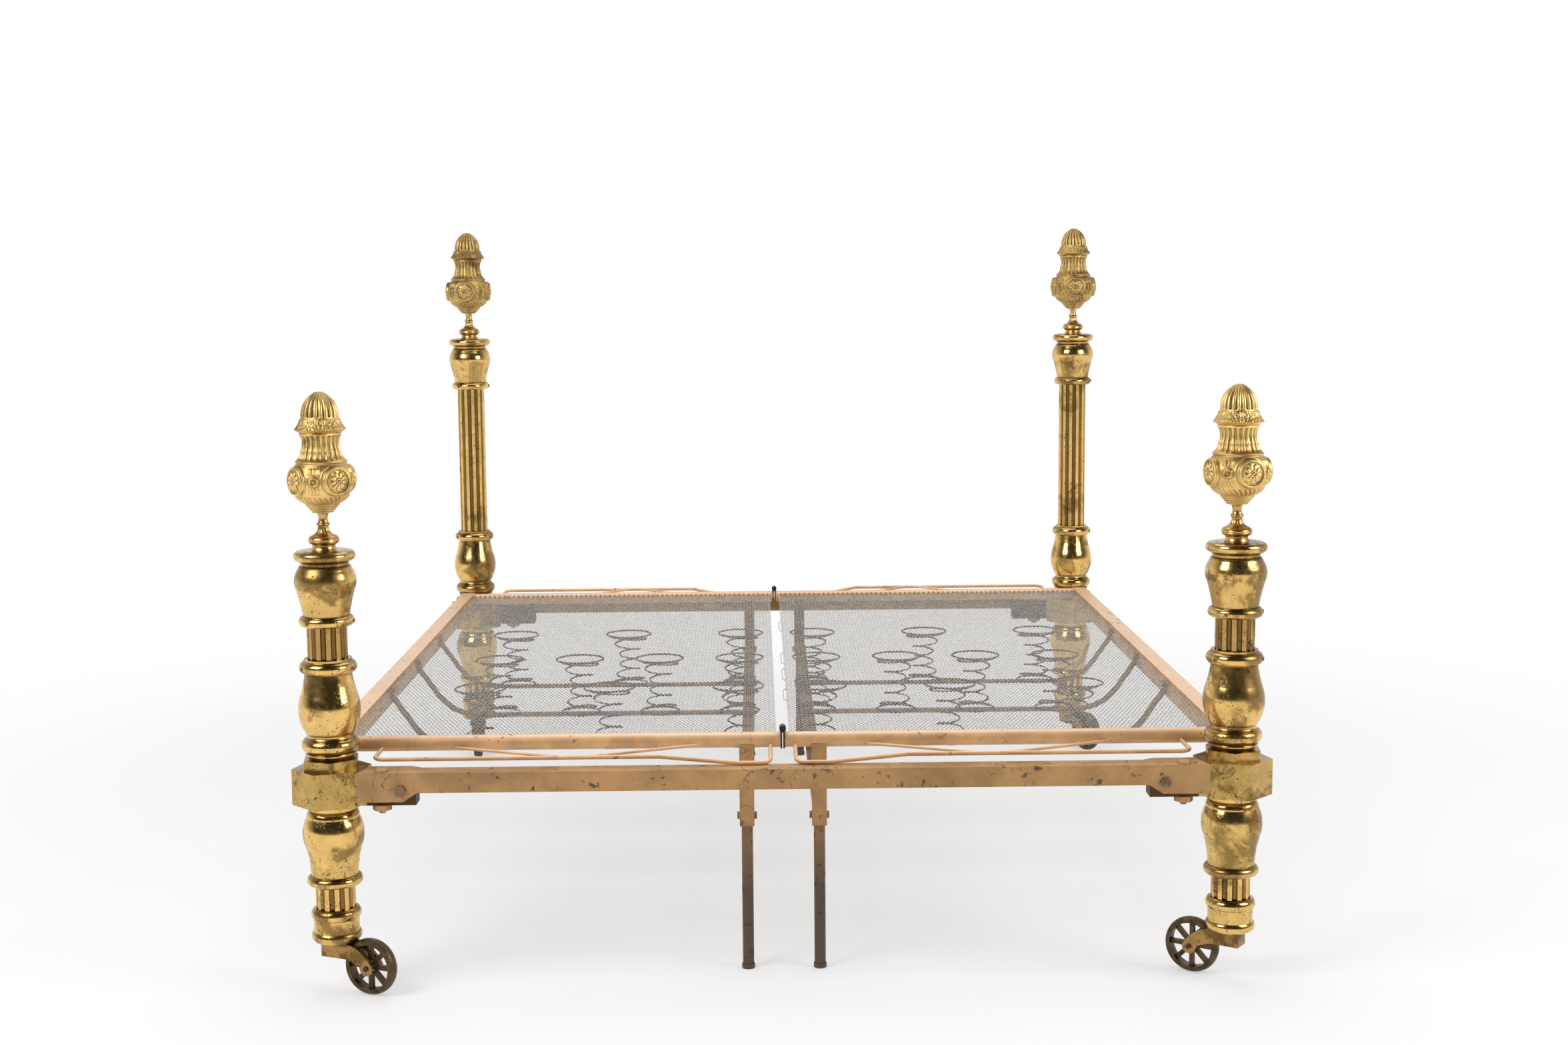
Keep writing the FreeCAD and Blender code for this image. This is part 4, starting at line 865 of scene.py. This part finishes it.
class BED_OT_net_hooks(bpy.types.Operator):
    """Eyes that hold the nets to their tubes, and bent clips along the right net's inner edge"""

    bl_idname = "bed.net_hooks"
    bl_label = "Net hooks"

    # Where each clip starts and stops along the bed, in mm
    clip_rows = ((426, 286), (-21, -158), (-220, -352), (-454, -573))

    def execute(self, context):
        self.wire = context.scene.bed_sizes.hook_wire
        for side, _, body in LEAVES:
            self.eyes(side, body)
        self.clips()
        return {"FINISHED"}

    def eyes(self, side, body):
        low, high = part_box(f"{side}_net")
        level = (low.z + high.z) / 2
        count, radius, margin, sunk = 62, 4 * MM, 6 * MM, 0.5 * MM
        pitch = (high.x - low.x - 2 * margin) / (count - 1)
        bm = bmesh.new()
        rolled_ring(bm, radius, self.wire, 0, sides=4, steps=10)
        bmesh.ops.rotate(bm, verts=bm.verts, matrix=Matrix.Rotation(QUARTER_TURN, 3, "Y"))
        places = []
        for end, lengthways in ENDS:
            tube_low, tube_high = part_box(f"{side}_{end}_tube")
            face = lengthways * (min(abs(tube_low.y), abs(tube_high.y)) - sunk)
            for number in range(count):
                places.append(Matrix.Translation((low.x + margin + number * pitch, face, level)))
        set_out(bm, places)
        finish_piece(f"{side}_net_eyes", bm, "spring_steel", body, "net_wire")

    def clips(self):
        low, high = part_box("right_net")
        level = (low.z + high.z) / 2
        # Each bend of a clip: how far out from the net's edge, and how far in from the clip's end
        bends = ((3, 0), (-2, 2), (-4.4, 8), (-5, 30))
        bm = bmesh.new()
        for start, stop in self.clip_rows:
            route = [(x, start - past) for x, past in bends]
            route += [(x, stop + past) for x, past in reversed(bends)]
            bent_wire(bm, [Vector((low.x + x * MM, y * MM, level)) for x, y in route], self.wire)
        finish_piece("right_net_clips", bm, "net_steel", "right_leaf", "net_wire")


class BED_OT_springs(bpy.types.Operator):
    """Hourglass springs between the slats and the nets"""

    bl_idname = "bed.springs"
    bl_label = "Springs"

    # Each row's place along the bed, and its springs' places out from the hinge, in mm
    rows = ((-400, (90, 370, 650)), (-60, (90, 277, 463, 650)), (280, (90, 370, 650)))

    def execute(self, context):
        wire = context.scene.bed_sizes.spring_wire
        slat_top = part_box("left_springs")[0].z
        for side, way, body in LEAVES:
            bm = bmesh.new()
            self.coil(bm, wire, foot=45 * MM, waist=22 * MM, top=55 * MM, height=129 * MM)
            handed = Matrix.Diagonal((way, 1, 1, 1))
            set_out(bm, [Matrix.Translation((way * x * MM, y * MM, slat_top)) @ handed
                         for y, columns in self.rows for x in columns])
            finish_piece(f"{side}_coil_springs", bm, "spring_steel", body, "spring_wire", f"{side}_springs")
        return {"FINISHED"}

    def coil(self, bm, wire, foot, waist, top, height):
        """One spring: a coil of wire drawn in at its waist, with a flat ring at each end."""
        turns, sides, ring_steps = 5, 6, 28
        steps = 26 * turns
        drawn = 30 * MM
        climb = height - 2 * wire
        ring = wire_ring(bm, sides, wire, (drawn, 0, wire))
        bmesh.ops.spin(bm, geom=ring + rim(ring), cent=ORIGIN, axis=UP, dvec=(0, 0, climb / steps),
                       angle=FULL_TURN * turns, steps=steps)
        for vert in bm.verts:
            share = min(1.0, max(0.0, (vert.co.z - wire) / climb))
            radius = foot if share < 0.5 else top
            radius += (waist - radius) * 4 * share * (1 - share)
            push_out(vert, radius - drawn)
        rolled_ring(bm, foot, wire, wire, sides, ring_steps)
        rolled_ring(bm, top, wire, height - wire, sides, ring_steps)


class BED_OT_leg_caps(bpy.types.Operator):
    """Turned caps on the feet of the folding legs"""

    bl_idname = "bed.leg_caps"
    bl_label = "Leg caps"

    # Radius and height of each corner, in mm
    outline = ((11.1, 0.3), (12.2, 0.3), (12.8, 1.5), (12.8, 8), (12, 10), (11.1, 10), (11.1, 0.3))

    def execute(self, context):
        for side in ("left", "right"):
            for end in ("foot", "head"):
                low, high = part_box(f"{side}_{end}_leg")
                foot = ((low.x + high.x) / 2, (low.y + high.y) / 2, low.z)
                bm = bmesh.new()
                spin_outline(bm, [Vector(point) * MM for point in self.outline], 28)
                bmesh.ops.translate(bm, verts=bm.verts, vec=foot)
                finish_piece(f"{side}_{end}_leg_cap", bm, "worn_leg", f"{side}_{end}_leg_body",
                             "base_paint", weld=1e-5)
        return {"FINISHED"}


class BED_OT_cad_finishes(bpy.types.Operator):
    """Brass, paint and iron on the pieces that keep their CAD shape"""

    bl_idname = "bed.cad_finishes"
    bl_label = "Finishes"

    # Each finish, and the pieces' names or the ends of their names
    finishes = {
        "fluted_brass": ("leg_flutes",),
        "column_brass": ("columns",),
        "aged_brass": ("ferrules", "leg_vases", "post_vases", "capitals", "finial_stems"),
        "gilt": ("finial_urns", "finial_tips"),
        "block_brass": ("corner_blocks", "plinth_nuts"),
        "horn_brass": ("_horn",),
        "wheel_iron": ("_wheel", "_axle"),
        "rail_paint": ("_rail", "coach_bolts", "coach_nuts"),
        "worn_leg": ("_leg",),
        "leg_paint": ("_leg_brackets",),
        "slat_paint": ("_slats", "_inner_bar"),
        "net_steel": ("_net",),
        "spring_steel": ("_springs",),
        "hinge_iron": ("hinge_pins", "_hinge_plates"),
        "copper_paint": ("_tube", "_side_bar", "_guard"),
    }

    def execute(self, context):
        tarnish_group()
        hollows_group()
        edges_group()
        self.brasses()
        self.paints()
        self.irons()
        for name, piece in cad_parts.items():
            piece.data.materials.clear()
            piece.data.materials.append(bpy.data.materials[self.finish_of(name)])
        return {"FINISHED"}

    def brasses(self):
        old_brass("gilt", "gilt", patch=0.3, pit=0.1, crack=0.0, gloss=0.38, shade_and_dirt=0.95,
                  reach=10 * MM, shallow=0.93, end_tarnish=0.35)
        old_brass("stem_brass", "stem_brass", pit=0.2, crack=0.0, gloss=0.22,
                  reach=6 * MM, shallow=0.95)
        old_brass("aged_brass", "brass")
        for name, end_tarnish in (("fluted_brass", 0.0), ("column_brass", -0.5)):
            old_brass(name, "brass", patch=0.36, pit=0.35, reach=8 * MM, shallow=0.85, fluted=True,
                      end_tarnish=end_tarnish)
        old_brass("block_brass", "block_brass", pit=0.5, crack=0.45, gloss=0.2, shade_and_dirt=0.6,
                  shaded_lug_paint=True)
        old_brass("horn_brass", "horn_brass", pit=0.5, crack=0.1, gloss=0.34, patch_scale=18)

    def paints(self):
        rail = finish("rail_paint")
        old_paint("rail_paint", rail, chip=0.42, gloss=0.5)
        old_paint("copper_paint", finish("base_paint"), finish("top_lit_paint"), chip=0.25, gloss=0.36)
        old_paint("leg_paint", rail)
        old_paint("worn_leg", rail, chip=0.45, metallic=0.3, dark_below=300 * MM)
        # The slats take the rail paint made darker
        old_paint("slat_paint", shaded(rail, DARKER_PAINT), chip=0.4, gloss=0.5, metallic=0.45)

    def irons(self):
        old_iron("bolt_iron", "bolt_rust")
        old_iron("hinge_iron", "hinge_rust")
        old_iron("screw_brass", "screw_rust")
        old_iron("wheel_iron", "wheel_rust", gloss=0.36)
        old_iron("net_steel", "net_rust", gloss=0.4, metallic=0.35)
        old_iron("spring_steel", "spring_rust", gloss=0.45)

    def finish_of(self, name):
        for material, endings in self.finishes.items():
            if name.endswith(endings):
                return material
        return "bolt_iron"


class BED_OT_stage(bpy.types.Operator):
    """White floor, soft studio light and the camera"""

    bl_idname = "bed.stage"
    bl_label = "Stage"

    floor_half = 30
    floor_white = (0.84, 0.84, 0.84, 1)
    room_dark = 0.04
    plain_light = 0.55

    def execute(self, context):
        self.floor()
        self.world(context.scene)
        self.lamp("key_softbox", place=(-3.2, -3.0, 3.6), aim=(0, 0, 0.5), size=2.4, power=150)
        self.lamp("fill_softbox", place=(3.6, -2.2, 2.6), aim=(0, 0, 0.6), size=2.0, power=90)
        self.lamp("top_softbox", place=(0, 0.6, 4.2), aim=(0, 0, 0), size=3.4, power=90)
        self.camera(context.scene)
        return {"FINISHED"}

    def floor(self):
        tree, shader = new_material("studio_floor", base_color=self.floor_white, roughness=0.9)
        path = add_node(tree, "ShaderNodeLightPath").outputs
        seen = sums(tree, "MAXIMUM", path["Is Camera Ray"], path["Is Glossy Ray"])
        # Near the bed the floor keeps its shadow, and further out it glows into the backdrop
        away = vectors(tree, "LENGTH", {0: on_object(tree)})["Value"]
        share = ramp(tree, away, 1.2, 3.6, first=0.55, last=1.0)
        # The glow is dimmer near the bed: a painted soft shadow round the bed
        strength = ramp(tree, away, 0.9, 3.0, first=0.8, last=1.0)
        glow = add_node(tree, "ShaderNodeEmission", {"Strength": strength})
        inputs = {0: sums(tree, "MULTIPLY", seen, share), 1: shader.outputs[0], 2: glow.outputs[0]}
        both = add_node(tree, "ShaderNodeMixShader", inputs)
        feed(tree, tree.nodes["Material Output"].inputs["Surface"], both.outputs[0])
        bm = bmesh.new()
        bmesh.ops.create_grid(bm, x_segments=2, y_segments=2, size=self.floor_half)
        new_mesh("studio_floor", bm, "studio_floor")

    def world(self, scene):
        world = bpy.data.worlds.new("studio")
        scene.world = world
        world.use_nodes = True
        tree = world.node_tree
        path = add_node(tree, "ShaderNodeLightPath").outputs
        aim = add_node(tree, "ShaderNodeTexCoord").outputs["Generated"]
        lowered = sums(tree, "MULTIPLY", along_axis(tree, aim, "Z"), 0.5)
        ahead = sums(tree, "SUBTRACT", along_axis(tree, aim, "Y"), lowered)
        # The room behind the camera is dark, the backdrop white
        room = ramp(tree, ahead, -0.6, 0.6, first=self.room_dark, last=1.0)
        strength = sums(tree, "MAXIMUM", path["Is Camera Ray"], room)
        around = sums(tree, "MAXIMUM", path["Is Glossy Ray"], path["Is Camera Ray"])
        plain = sums(tree, "MULTIPLY", sums(tree, "SUBTRACT", 1.0, around), self.plain_light)
        strength = sums(tree, "ADD", plain, sums(tree, "MULTIPLY", around, strength))
        background = tree.nodes["Background"]
        feed(tree, background.inputs["Strength"], strength)
        background.inputs["Color"].default_value = (1, 1, 1, 1)

    def lamp(self, name, place, aim, size, power):
        lamp = bpy.data.lights.new(name, "AREA")
        lamp.size = size
        lamp.energy = power
        holder = new_object(name, lamp)
        holder.location = place
        holder.rotation_euler = (Vector(aim) - Vector(place)).to_track_quat("-Z", "Y").to_euler()

    def camera(self, scene):
        lens = bpy.data.cameras.new("photo_camera")
        lens.sensor_width = 36
        lens.lens = 46.84
        lens.clip_end = 100
        holder = new_object("photo_camera", lens)
        place = (-44 * MM, -4770 * MM, 1326 * MM)
        yaw, pitch, roll = (math.radians(turn) for turn in (0.74, 6.65, -0.45))
        aimed = Matrix.Rotation(-yaw, 4, "Z") @ Matrix.Rotation(QUARTER_TURN - pitch, 4, "X")
        holder.matrix_world = Matrix.Translation(place) @ aimed @ Matrix.Rotation(roll, 4, "Z")
        scene.camera = holder
        scene.view_settings.view_transform = "Standard"


class BED_PT_pieces(bpy.types.Panel):
    """Lists the pieces that dress the bed"""

    bl_idname = "BED_PT_pieces"
    bl_label = "Bronze bed"
    bl_space_type = "VIEW_3D"
    bl_region_type = "UI"
    bl_category = "Bronze bed"

    def draw(self, context):
        column = self.layout.column()
        for operator in OPERATORS:
            column.operator(operator.bl_idname)


OPERATORS = (
    BED_OT_cad_finishes, BED_OT_finial_urns, BED_OT_finial_tips, BED_OT_finial_stems, BED_OT_set_screws,
    BED_OT_nets, BED_OT_net_hooks, BED_OT_springs, BED_OT_leg_caps, BED_OT_stage)
CLASSES = (BedFinishes, BedSizes) + OPERATORS + (BED_PT_pieces,)


def register():
    for made in CLASSES:
        bpy.utils.register_class(made)
    bpy.types.Scene.bed_finishes = PointerProperty(type=BedFinishes)
    bpy.types.Scene.bed_sizes = PointerProperty(type=BedSizes)


def unregister():
    del bpy.types.Scene.bed_sizes
    del bpy.types.Scene.bed_finishes
    for made in reversed(CLASSES):
        bpy.utils.unregister_class(made)


def main():
    register()
    bpy.ops.bed.cad_finishes()
    bpy.ops.bed.finial_urns()
    bpy.ops.bed.finial_tips()
    bpy.ops.bed.finial_stems()
    bpy.ops.bed.set_screws()
    bpy.ops.bed.nets()
    bpy.ops.bed.net_hooks()
    bpy.ops.bed.springs()
    bpy.ops.bed.leg_caps()
    bpy.ops.bed.stage()


if __name__ == "__main__":
    main()
